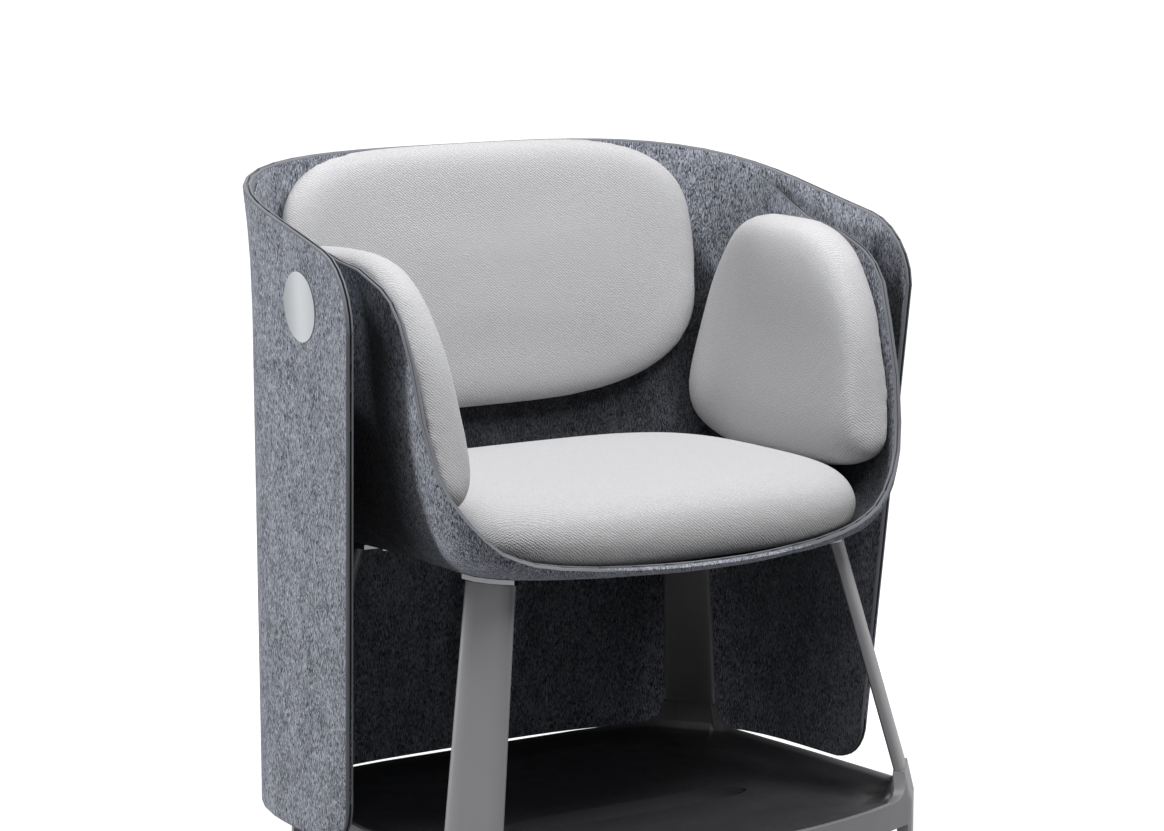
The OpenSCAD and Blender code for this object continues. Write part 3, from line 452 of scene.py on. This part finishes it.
def new_material(name):
    """A material with one Principled shader: the material, its wiring and the shader."""
    material = bpy.data.materials.new(name)
    material.use_nodes = True
    wiring = Wiring(material.node_tree)
    material.node_tree.nodes.clear()
    shader = wiring.node("ShaderNodeBsdfPrincipled")
    end = wiring.node("ShaderNodeOutputMaterial")
    material.node_tree.links.new(shader.outputs[0], end.inputs[0])
    return material, wiring, shader


def place_of(wiring):
    """The object's own coordinates."""
    return wiring.node("ShaderNodeTexCoord").outputs["Object"]


def effect(wiring, group, values):
    """A group placed in a material, with its inputs set by name."""
    made = wiring.node("ShaderNodeGroup")
    made.node_tree = group
    for name, value in values.items():
        wiring.feed(made.inputs[name], value)
    return made.outputs


def with_painted_shade(wiring, colour, least):
    """The colour with painted shade: darker where the attribute Open says that little room light
    reaches a point.
    """
    stored = wiring.node("ShaderNodeAttribute", attribute_name="Open")
    return effect(wiring, shared("Painted Shade", painted_shade_group), {
        "Color": colour, "Open": stored.outputs["Fac"], "Least": least})["Color"]


def finished(wiring, shader, colour, made, depth, strength=0.5):
    """Feeds the shader a colour, an effect's roughness and its relief, with a depth in metres."""
    wiring.feed(shader.inputs["Base Color"], colour)
    wiring.feed(shader.inputs["Roughness"], made["Roughness"])
    bump = wiring.node("ShaderNodeBump")
    bump.inputs["Strength"].default_value = strength
    bump.inputs["Distance"].default_value = depth
    wiring.feed(bump.inputs["Height"], made["Height"])
    wiring.feed(shader.inputs["Normal"], bump.outputs["Normal"])


def felt_material(settings):
    material, w, shader = new_material("Pressed Felt")
    made = effect(w, shared("Pressed Felt", felt_group), {
        "Vector": place_of(w), "Ground": opaque(settings.colour),
        "Light": opaque(settings.light), "Dark": opaque(settings.dark),
        "Across": 1 / settings.fleck_width, "Along": 1 / settings.fleck_length})
    shader.inputs["Specular IOR Level"].default_value = 0.12
    shader.inputs["Sheen Weight"].default_value = 0.05
    shader.inputs["Sheen Roughness"].default_value = 0.6
    # Painted shade: the felt is darkened where little room light reaches it
    colour = with_painted_shade(w, made["Color"], FELT_SHADE_LEAST)
    finished(w, shader, colour, made, settings.relief, strength=0.8)
    return material


def edge_material(settings):
    """The pressed lip along an edge of the felt."""
    return grained_material("Pressed Edge", settings.edge, lighter(settings.edge, 0.12),
                            grain=1300.0, smooth=0.80, rough=0.95, depth=0.0002)


def seam_and_shade_material(settings):
    """The dark seam along the middle of a felt edge: partly its own colour, partly painted shade
    in its groove.
    """
    return grained_material("Edge Seam", settings.seam, lighter(settings.seam, 0.03),
                            grain=1300.0, smooth=0.85, rough=0.97, depth=0.0002)


def cloth_material(settings):
    material, w, shader = new_material("Cushion Cloth")
    facing = w.node("ShaderNodeNewGeometry").outputs["True Normal"]
    made = effect(w, shared("Ribbed Weave", weave_group), {
        "Vector": place_of(w), "Facing": facing, "Thread": opaque(settings.colour),
        "Hollow Shade": opaque(settings.shade), "Pitch": settings.pitch})
    shader.inputs["Specular IOR Level"].default_value = 0.2
    shader.inputs["Sheen Weight"].default_value = 0.08
    shader.inputs["Sheen Roughness"].default_value = 0.45
    finished(w, shader, made["Color"], made, settings.relief, strength=0.7)
    return material


def grained(wiring, base, worn, grain, smooth, rough):
    """The shared fine grain on a base colour that is worn here and there."""
    return effect(wiring, shared("Fine Grain", grain_group), {
        "Vector": place_of(wiring), "Base": base, "Worn": worn,
        "Grain": grain, "Smooth": smooth, "Rough": rough})


def grained_material(name, colour, worn, grain, smooth, rough, depth, metallic=0.0):
    """A material of the shared fine grain alone, such as metal, rubber or a pressed edge."""
    material, w, shader = new_material(name)
    made = grained(w, opaque(colour), opaque(worn), grain, smooth, rough)
    shader.inputs["Metallic"].default_value = metallic
    finished(w, shader, made["Color"], made, depth)
    return material


def lighter(colour, share):
    """The colour, this share of the way to white."""
    return tuple(channel + (1 - channel) * share for channel in colour)


def darker(colour, share):
    """The colour, this share of the way to black."""
    return tuple(channel * (1 - share) for channel in colour)


def paint_material(settings):
    material, w, shader = new_material("Satin Paint")
    made = grained(w, opaque(settings.paint), opaque(lighter(settings.paint, 0.05)),
                   grain=1400.0, smooth=0.40, rough=0.52)
    # Painted shade: the legs' paint is darkened where little room light reaches it
    colour = with_painted_shade(w, made["Color"], LEG_SHADE_LEAST)
    finished(w, shader, colour, made, PAINT_RELIEF)
    return material


def dish_shade_group():
    """Painted shade on the tray: a dark colour on what looks up below a height, and in an ellipse
    at the slot.
    """
    group, w, given, out = new_group(
        "Painted Dish Shade",
        [("Vector", "NodeSocketVector", None),
         ("Facing", "NodeSocketVector", None),
         ("Edge Height", "NodeSocketFloat", 0.09),
         ("Paint", "NodeSocketColor", (0.2, 0.2, 0.2, 1)),
         ("Dish Shade", "NodeSocketColor", (0.05, 0.05, 0.05, 1))],
        [("Color", "NodeSocketColor")])
    x, y, z = w.parts(given["Vector"])
    upward = w.parts(given["Facing"])[2]
    fade = 0.004
    below = w.math("SUBTRACT", given["Edge Height"], z)
    floor_share = w.math("MULTIPLY", w.ramp(below, 0.0, fade), w.ramp(upward, 0.2, 0.5))
    # Painted shade in the slot: the dark colour fills an ellipse round it
    half_length = 0.19
    half_width = 0.06
    forward = 0.07
    along = w.math("DIVIDE", x, half_length)
    across = w.math("DIVIDE", w.math("ADD", y, forward), half_width)
    reach = w.math("ADD", w.math("MULTIPLY", along, along),
                   w.math("MULTIPLY", across, across))
    slot_share = w.ramp(reach, 1.0, 1.4, low_out=1.0, high_out=0.0)
    share = w.math("MAXIMUM", floor_share, slot_share)
    w.feed(out["Color"], w.mixed(share, given["Paint"], given["Dish Shade"]))
    return group


def tray_material(settings, edge_height):
    material, w, shader = new_material("Tray Paint")
    made = grained(w, opaque(settings.paint), opaque(lighter(settings.paint, 0.05)),
                   grain=1400.0, smooth=0.42, rough=0.56)
    shaded_dish = effect(w, shared("Painted Dish Shade", dish_shade_group), {
        "Vector": place_of(w), "Facing": w.node("ShaderNodeNewGeometry").outputs["Normal"],
        "Edge Height": edge_height, "Paint": made["Color"],
        "Dish Shade": opaque(settings.dish)})
    # Painted shade: besides the dish's dark colour, the tray is darkened where little room light
    # reaches it
    colour = with_painted_shade(w, shaded_dish["Color"], TRAY_SHADE_LEAST)
    finished(w, shader, colour, made, PAINT_RELIEF)
    return material


def disc_material(settings):
    """Satin metal with a painted highlight: a soft upright band of lighter colour across the
    disc.
    """
    material, w, shader = new_material("Satin Metal")
    low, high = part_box("left_wing_disc")
    middle = (low[1] + high[1]) / 2
    radius = (high[1] - low[1]) / 2
    place = w.parts(place_of(w))
    across = w.math("DIVIDE", w.math("SUBTRACT", middle, place[1]), radius)
    brightest = 0.1
    rising = w.ramp(across, -1.0, brightest)
    falling = w.ramp(across, brightest, 1.2, low_out=1.0, high_out=0.45)
    painted_sheen = w.math("MULTIPLY", rising, falling)
    # Painted highlight: the colour is lightest in an upright band and darker to either side
    base = w.mixed(painted_sheen, opaque(darker(settings.disc, 0.35)),
                   opaque(lighter(settings.disc, 0.10)))
    made = grained(w, base, opaque(settings.disc), grain=2200.0, smooth=0.34, rough=0.46)
    shader.inputs["Metallic"].default_value = 0.75
    finished(w, shader, made["Color"], made, depth=0.00002)
    return material


def polish_material(settings):
    return grained_material("Polished Metal", settings.polish,
                            lighter(settings.polish, 0.2), grain=1800.0, smooth=0.06,
                            rough=0.12, depth=0.00001, metallic=1.0)


def steel_material(settings):
    return grained_material("Screw Steel", settings.steel, lighter(settings.steel, 0.15),
                            grain=2400.0, smooth=0.25, rough=0.40, depth=0.00002,
                            metallic=1.0)


def rubber_material(settings):
    return grained_material("Glide Rubber", settings.rubber, lighter(settings.rubber, 0.04),
                            grain=1100.0, smooth=0.62, rough=0.85, depth=0.0001)


def board_material(settings):
    return grained_material("Moulded Carrier", settings.board,
                            lighter(settings.board, 0.03), grain=900.0, smooth=0.48,
                            rough=0.70, depth=0.0001)


def dress(piece, material):
    """Gives a piece or a CAD node this one material in all its slots."""
    if not piece.material_slots:
        piece.data.materials.append(material)
    for slot in piece.material_slots:
        slot.material = material


# Pieces and their meshes

def only(piece):
    """Makes this the one selected and active object."""
    bpy.ops.object.select_all(action="DESELECT")
    piece.hide_set(False)
    piece.select_set(True)
    bpy.context.view_layer.objects.active = piece


def copy_of(node, name):
    """A new piece with the merged mesh of a CAD node, which it replaces."""
    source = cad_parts[node]
    piece = bpy.data.objects.new(name, source.data.copy())
    piece.matrix_world = source.matrix_world
    bpy.context.scene.collection.objects.link(piece)
    only(piece)
    bpy.ops.object.transform_apply(location=True, rotation=True, scale=True)
    bpy.ops.object.mode_set(mode="EDIT")
    bpy.ops.mesh.select_all(action="SELECT")
    bpy.ops.mesh.remove_doubles(threshold=0.00002)
    bpy.ops.mesh.customdata_custom_splitnormals_clear()
    bpy.ops.object.mode_set(mode="OBJECT")
    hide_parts(node)
    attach(piece, "root")
    return piece


def soften(piece, angle):
    """Smooth shading between faces that meet at less than this angle in degrees.

    Large faces weigh more in the shading than small ones.
    """
    only(piece)
    bpy.ops.object.shade_smooth_by_angle(angle=math.radians(angle))
    weighted = piece.modifiers.new("Weighted", "WEIGHTED_NORMAL")
    weighted.keep_sharp = True
    weighted.weight = 80
    bpy.ops.object.modifier_apply(modifier=weighted.name)


def tree_over(meshes):
    """A search tree over the faces of these meshes."""
    corners = []
    faces = []
    for mesh in meshes:
        base = len(corners)
        corners.extend(vertex.co.copy() for vertex in mesh.vertices)
        faces.extend(tuple(base + index for index in face.vertices)
                     for face in mesh.polygons)
    return BVHTree.FromPolygons(corners, faces)


def tree_of(*nodes):
    """A search tree over the faces of these CAD nodes."""
    return tree_over(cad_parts[node].data for node in nodes)


def applied(piece, name, kind, **settings):
    """Adds a modifier with these settings and applies it."""
    only(piece)
    modifier = piece.modifiers.new(name, kind)
    for setting, value in settings.items():
        setattr(modifier, setting, value)
    bpy.ops.object.modifier_apply(modifier=modifier.name)


class Skin:
    """A mesh's points, normals and neighbours as arrays."""

    def __init__(self, piece):
        self.mesh = piece.data
        self.count = len(self.mesh.vertices)
        self.places = self.read("co")
        self.normals = self.read("normal")
        ends = numpy.empty(len(self.mesh.edges) * 2, dtype=int)
        self.mesh.edges.foreach_get("vertices", ends)
        self.first, self.second = ends.reshape(-1, 2).T
        self.near = (numpy.bincount(self.first, minlength=self.count)
                     + numpy.bincount(self.second, minlength=self.count))

    def read(self, name):
        """The points' values of this name, in three columns."""
        values = numpy.empty(self.count * 3)
        self.mesh.vertices.foreach_get(name, values)
        return values.reshape(self.count, 3)

    def beside(self, values):
        """The mean of each point's neighbours."""
        return (numpy.bincount(self.first, values[self.second], self.count)
                + numpy.bincount(self.second, values[self.first], self.count)) / self.near

    def evened(self, values, rounds):
        """The values, each moved halfway to the mean of its neighbours in each round."""
        for _ in range(rounds):
            values = (values + self.beside(values)) / 2
        return values

    def raised(self, rise):
        """Moves the points along their first normals and writes them to the mesh."""
        self.places += self.normals * rise[:, None]
        self.mesh.vertices.foreach_set("co", self.places.ravel())
        self.mesh.update()


# How open surfaces lie, which sets the painted shade, and the edges of the felt

def disc_boxes():
    """The boxes of the two round discs in the wings."""
    return [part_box(side + "_wing_disc") for side in ("left", "right")]


def in_recess(point, discs):
    """Whether a point belongs to the recess round one of the discs."""
    return any(all(low - DISC_MARGIN < value < high + DISC_MARGIN
                   for low, value, high in zip(corner, point, opposite))
               for corner, opposite in discs)


def upper_rays(count):
    """Directions spread over the half sphere above +Z, densest near its top."""
    golden = math.pi * (3 - math.sqrt(5))
    rays = []
    for index in range(count):
        high = math.sqrt((index + 0.5) / count)
        flat = math.sqrt(1 - high * high)
        rays.append(Vector((flat * math.cos(golden * index),
                            flat * math.sin(golden * index), high)))
    return rays


def crevices_opened(skin, shares):
    """Gives a point in a narrow crevice about the share of the open point next to it."""
    jump = 0.3
    loss = 0.1
    best = shares.copy()
    numpy.maximum.at(best, skin.first, shares[skin.second])
    numpy.maximum.at(best, skin.second, shares[skin.first])
    return numpy.where(best - shares > jump, best - loss, shares)


def openness(piece):
    """Stores how open each point lies, from 0 to 1, as the attribute Open, by which shade is
    painted.

    Felt and cushions close a point off, and the felt in the discs' recesses stays open.
    """
    around = tree_of("outer_screen", "seat_shell", *PADS)
    rays = upper_rays(RAY_COUNT)
    discs = disc_boxes()
    shares = numpy.ones(len(piece.data.vertices))
    for vertex in piece.data.vertices:
        if in_recess(vertex.co, discs):
            continue
        turn = vertex.normal.to_track_quat("Z", "Y")
        start = vertex.co + vertex.normal * RAY_LIFT
        hits = sum(around.ray_cast(start, turn @ ray, RAY_REACH)[0] is not None
                   for ray in rays)
        shares[vertex.index] = 1 - hits / RAY_COUNT
    shares = crevices_opened(Skin(piece), shares)
    stored = piece.data.attributes.new("Open", "FLOAT", "POINT")
    stored.data.foreach_set("value", shares)


def trimmed(piece, lip, seam, bonded):
    """Gives the narrow faces along a free felt edge a material, and its seam another.

    An edge that lies within BOND_REACH of the bonded tree keeps its felt.
    """
    mesh = piece.data
    lip_slot = 1
    seam_slot = 2
    mesh.materials.append(lip)
    mesh.materials.append(seam)
    discs = disc_boxes()
    own = tree_over([mesh])
    off_surface = 0.0001
    for face in mesh.polygons:
        corners = [mesh.vertices[index].co for index in face.vertices]
        narrowest = min((a - b).length for a, b in zip(corners, corners[1:] + corners[:1]))
        by_disc = any(in_recess(corner, discs) for corner in corners)
        joined = (bonded is not None
                  and bonded.find_nearest(face.center, BOND_REACH)[3] is not None)
        if narrowest < EDGE_FACE and not by_disc and not joined:
            start = face.center + face.normal * off_surface
            facing = own.ray_cast(start, face.normal, SEAM_REACH)[0]
            deep = facing is not None or narrowest < SEAM_FACE
            face.material_index = seam_slot if deep else lip_slot


def felted(piece, context, bonded=None):
    """Dresses a piece in felt, with its edges that are free of the bonded tree trimmed."""
    # Painted shade: openness darkens the felt where little room light reaches
    openness(piece)
    settings = settings_of(context).felt
    found = bpy.data.materials.get
    dress(piece, found("Pressed Felt") or felt_material(settings))
    trimmed(piece, found("Pressed Edge") or edge_material(settings),
            found("Edge Seam") or seam_and_shade_material(settings), bonded)


# Cushions

def ease(value):
    """A smooth step from 0 to 1."""
    held = min(1.0, max(0.0, value))
    return held * held * (3 - 2 * held)


def rounded_form(piece):
    """Turns a cushion's triangles into quads where it can and rounds its facets off."""
    only(piece)
    bpy.ops.object.mode_set(mode="EDIT")
    bpy.ops.mesh.select_all(action="SELECT")
    bpy.ops.mesh.tris_convert_to_quads(
        face_threshold=math.radians(60), shape_threshold=math.radians(60))
    bpy.ops.object.mode_set(mode="OBJECT")
    applied(piece, "Round", "SUBSURF", levels=2, render_levels=2)


def freedom(piece, felt, bed):
    """How freely each point moves: not at all within the bed over the felt, fully beyond two."""
    far = bed * 3
    depths = [felt.find_nearest(vertex.co, far)[3] for vertex in piece.data.vertices]
    return numpy.array([ease(depth / bed - 1) if depth is not None else 1.0
                        for depth in depths])


def inflated(piece, free, settings):
    """Fills a cushion by a cloth simulation, of which only the outward movement is kept."""
    before = Skin(piece)
    still = piece.vertex_groups.new(name="still")
    for index, share in enumerate(free):
        still.add([index], 1.0 - share, "REPLACE")
    only(piece)
    cloth = piece.modifiers.new("Cloth", "CLOTH")
    cloth.settings.quality = 5
    cloth.settings.mass = 0.3
    cloth.settings.tension_stiffness = 25
    cloth.settings.compression_stiffness = 25
    cloth.settings.shear_stiffness = 12
    cloth.settings.bending_stiffness = 6
    cloth.settings.shrink_min = settings.taut
    cloth.settings.use_pressure = True
    cloth.settings.uniform_pressure_force = settings.pressure
    cloth.settings.vertex_group_mass = still.name
    cloth.settings.effector_weights.gravity = 0
    cloth.collision_settings.use_collision = False
    scene = bpy.context.scene
    last_frame = 20
    for number in range(1, last_frame + 1):
        scene.frame_set(number)
    bpy.ops.object.modifier_apply(modifier=cloth.name)
    scene.frame_set(1)
    piece.vertex_groups.clear()
    rise = ((Skin(piece).places - before.places) * before.normals).sum(axis=1)
    rise = numpy.clip(rise, 0, settings.swell) * free
    before.raised(before.evened(rise, rounds=30))


def spanned(piece, free, rounds):
    """Stretches the cover over hollows: points move outward to their neighbours' middle."""
    skin = Skin(piece)
    start = skin.places.copy()
    for _ in range(rounds):
        middle = numpy.stack([skin.beside(skin.places[:, axis]) for axis in range(3)], axis=1)
        rise = ((middle - skin.places) * skin.normals).sum(axis=1)
        skin.places += skin.normals * (numpy.maximum(rise, 0) * free)[:, None]
    rise = ((skin.places - start) * skin.normals).sum(axis=1)
    skin.places = start
    skin.raised(skin.evened(rise, rounds=12))


def lifted(piece, free, height):
    """Lifts the cover over its filling, in full where a third of the movement is free."""
    steepness = 3
    Skin(piece).raised(numpy.minimum(1, steepness * free) * height)


def smoothed(piece):
    """Takes the steps out of a cushion's cover."""
    applied(piece, "Even", "SMOOTH", factor=0.5, iterations=14)


# Fittings

def bevelled(piece, width, angle):
    """Rounds the edges of a piece that are sharper than an angle in degrees."""
    applied(piece, "Bevel", "BEVEL", width=width, segments=3, limit_method="ANGLE",
            angle_limit=math.radians(angle), use_clamp_overlap=True)
    soften(piece, angle)


def fitting(node, name, material, width, angle):
    """A fitting in one material, with its sharp edges rounded."""
    piece = copy_of(node, name)
    bevelled(piece, width, angle)
    dress(piece, material)
    return piece


# Stage

def white_for_camera(wiring, level):
    """The level for what the camera, a reflection or a view through glass sees, else 0."""
    path = wiring.node("ShaderNodeLightPath")
    seen = wiring.math("MAXIMUM", path.outputs["Is Camera Ray"],
                       wiring.math("MAXIMUM", path.outputs["Is Glossy Ray"],
                                   path.outputs["Is Transmission Ray"]))
    return wiring.math("MULTIPLY", seen, level)


def floor():
    """A large pale floor that glows white beside the chair, with painted shade beneath it where
    its glow fades out.
    """
    bpy.ops.mesh.primitive_plane_add(size=60, location=(0, 0, 0))
    ground = bpy.context.active_object
    ground.name = "pale_floor"
    material, w, shader = new_material("Pale Floor")
    shader.inputs["Base Color"].default_value = (0.28, 0.28, 0.28, 1)
    shader.inputs["Roughness"].default_value = 0.9
    shader.inputs["Emission Color"].default_value = (1, 1, 1, 1)
    measured = w.node("ShaderNodeVectorMath", operation="LENGTH")
    w.feed(measured.inputs[0], place_of(w))
    reach = measured.outputs["Value"]
    # Painted shade: the floor's glow fades out towards the chair, so the floor near and under the
    # tray is darker
    under_tray = 0.22
    beside_tray = 0.40
    open_floor = 1.0
    level = w.math("ADD", w.ramp(reach, under_tray, beside_tray, high_out=0.9),
                   w.ramp(reach, beside_tray, open_floor, high_out=0.15))
    w.feed(shader.inputs["Emission Strength"], white_for_camera(w, level))
    dress(ground, material)


def lamp(name, place, size, power):
    """A round soft lamp that is turned to the chair."""
    bpy.ops.object.light_add(type="AREA", location=place)
    made = bpy.context.active_object
    made.name = name
    made.data.shape = "DISK"
    made.data.size = size
    made.data.energy = power
    toward = Vector(LAMP_AIM) - Vector(place)
    made.rotation_euler = toward.to_track_quat("-Z", "Y").to_euler()


def room(level):
    """A room that gives light of this level and looks white."""
    world = bpy.data.worlds.new("Pale Room")
    world.use_nodes = True
    world.node_tree.nodes.clear()
    w = Wiring(world.node_tree)
    shade = w.node("ShaderNodeBackground")
    end = w.node("ShaderNodeOutputWorld")
    glow = white_for_camera(w, 1.0 - level)
    w.feed(shade.inputs["Strength"], w.math("ADD", glow, level))
    world.node_tree.links.new(shade.outputs[0], end.inputs[0])
    bpy.context.scene.world = world


def camera(settings):
    """The camera of the photo."""
    turn = settings.azimuth
    rise = settings.elevation
    back = Vector((-math.sin(turn) * math.cos(rise), -math.cos(turn) * math.cos(rise),
                   math.sin(rise)))
    place = Vector(settings.target) + back * settings.distance
    bpy.ops.object.camera_add(location=place)
    made = bpy.context.active_object
    made.name = "Camera"
    made.rotation_euler = (-back).to_track_quat("-Z", "Y").to_euler()
    made.data.sensor_width = 36
    made.data.sensor_fit = "HORIZONTAL"
    made.data.lens = settings.lens
    made.data.clip_end = 200
    bpy.context.scene.camera = made


# Operators, one for each piece or group of like pieces

def settings_of(context):
    return context.scene.lounge_chair


class LOUNGE_OT_screen(bpy.types.Operator):
    """Make the felt screen that wraps round the back and sides"""
    bl_idname = "lounge.screen"
    bl_label = "Felt Screen"

    def execute(self, context):
        piece = copy_of("outer_screen", "felt_screen")
        soften(piece, angle=50)
        felted(piece, context)
        return {"FINISHED"}


class LOUNGE_OT_bucket(bpy.types.Operator):
    """Make the felt bucket with its arms"""
    bl_idname = "lounge.bucket"
    bl_label = "Felt Bucket"

    def execute(self, context):
        piece = copy_of("seat_shell", "felt_bucket")
        soften(piece, angle=50)
        felted(piece, context, tree_of("outer_screen"))
        return {"FINISHED"}


class LOUNGE_OT_cushions(bpy.types.Operator):
    """Make the four cushions, filled and covered with cloth"""
    bl_idname = "lounge.cushions"
    bl_label = "Cushions"

    def execute(self, context):
        settings = settings_of(context).pads
        cloth = cloth_material(settings_of(context).cloth)
        felt = tree_of("seat_shell")
        for node in PADS:
            piece = copy_of(node, node + "_pad")
            rounded_form(piece)
            applied(piece, "Remesh", "REMESH", mode="VOXEL", voxel_size=settings.voxel)
            smoothed(piece)
            free = freedom(piece, felt, settings.bed)
            inflated(piece, free, settings)
            spanned(piece, free, rounds=120)
            lifted(piece, free, settings.fill)
            smoothed(piece)
            applied(piece, "Round", "SUBSURF", levels=1, render_levels=1)
            bpy.ops.object.shade_smooth()
            dress(piece, cloth)
        return {"FINISHED"}


class LOUNGE_OT_legs(bpy.types.Operator):
    """Make the four blade legs and the dished tray that they stand on"""
    bl_idname = "lounge.legs"
    bl_label = "Legs and Tray"

    def execute(self, context):
        metal = settings_of(context).metal
        paint = paint_material(metal)
        for node in LEGS:
            piece = copy_of(node, node + "_blade")
            soften(piece, angle=40)
            # Painted shade: openness darkens each leg's paint where little room light reaches
            openness(piece)
            dress(piece, paint)
        tray = copy_of("base_tray", "dished_tray")
        soften(tray, angle=40)
        # Painted shade: openness darkens the tray where little room light reaches
        openness(tray)
        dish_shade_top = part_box("base_tray")[1][2] - DISH_SHADE_DROP
        dress(tray, tray_material(metal, dish_shade_top))
        return {"FINISHED"}


class LOUNGE_OT_fittings(bpy.types.Operator):
    """Make the saddle plates, discs and spacers and finish the hidden hardware"""
    bl_idname = "lounge.fittings"
    bl_label = "Fittings"

    def execute(self, context):
        metal = settings_of(context).metal
        polish = polish_material(metal)
        satin = disc_material(metal)
        for node in SADDLES:
            piece = fitting(node, node + "_plate", polish, width=0.0012, angle=30)
        for side in ("left", "right"):
            disc = fitting(side + "_wing_disc", side + "_disc", satin,
                           width=0.0008, angle=40)
            spacer = fitting(side + "_wing_spacer", side + "_spacer", polish,
                             width=0.0015, angle=40)
        for nodes, material in ((CARRIERS, board_material(metal)),
                                (GLIDES, rubber_material(metal)),
                                (FIXINGS, steel_material(metal))):
            for node in nodes:
                dress(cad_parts[node], material)
        return {"FINISHED"}


class LOUNGE_OT_stage(bpy.types.Operator):
    """Make the pale floor, the soft lamps, the room light and the camera"""
    bl_idname = "lounge.stage"
    bl_label = "Stage"

    def execute(self, context):
        settings = settings_of(context).stage
        floor()
        lamp("Side Lamp", (-2.9, 1.35, 1.2), size=0.6, power=settings.side_power)
        lamp("Top Lamp", (-0.3, -0.1, 2.7), size=1.3, power=settings.top_power)
        lamp("Front Lamp", (0.3, -1.3, 2.5), size=1.0, power=settings.front_power)
        room(settings.room_level)
        camera(settings)
        context.scene.view_settings.view_transform = "Standard"
        return {"FINISHED"}


class LOUNGE_PT_panel(bpy.types.Panel):
    """Settings and steps of the lounge chair"""
    bl_idname = "LOUNGE_PT_panel"
    bl_label = "Lounge Chair"
    bl_space_type = "VIEW_3D"
    bl_region_type = "UI"
    bl_category = "Lounge Chair"

    def draw(self, context):
        settings = settings_of(context)
        for group, operators in (
                (settings.felt, (LOUNGE_OT_screen, LOUNGE_OT_bucket)),
                (settings.cloth, ()),
                (settings.pads, (LOUNGE_OT_cushions,)),
                (settings.metal, (LOUNGE_OT_legs, LOUNGE_OT_fittings)),
                (settings.stage, (LOUNGE_OT_stage,))):
            box = self.layout.box()
            for name in group.__annotations__:
                box.prop(group, name)
            for operator in operators:
                box.operator(operator.bl_idname)


CLASSES = (LoungeFelt, LoungeCloth, LoungePads, LoungeMetal, LoungeStage, LoungeChair,
           LOUNGE_OT_screen, LOUNGE_OT_bucket, LOUNGE_OT_cushions, LOUNGE_OT_legs,
           LOUNGE_OT_fittings, LOUNGE_OT_stage, LOUNGE_PT_panel)


def register():
    for entry in CLASSES:
        bpy.utils.register_class(entry)
    bpy.types.Scene.lounge_chair = bpy.props.PointerProperty(
        type=LoungeChair, name="Lounge Chair", description="Settings of the lounge chair")


def unregister():
    del bpy.types.Scene.lounge_chair
    for entry in reversed(CLASSES):
        bpy.utils.unregister_class(entry)


def main():
    register()
    bpy.ops.lounge.screen()
    bpy.ops.lounge.bucket()
    bpy.ops.lounge.cushions()
    bpy.ops.lounge.legs()
    bpy.ops.lounge.fittings()
    bpy.ops.lounge.stage()


if __name__ == "__main__":
    main()
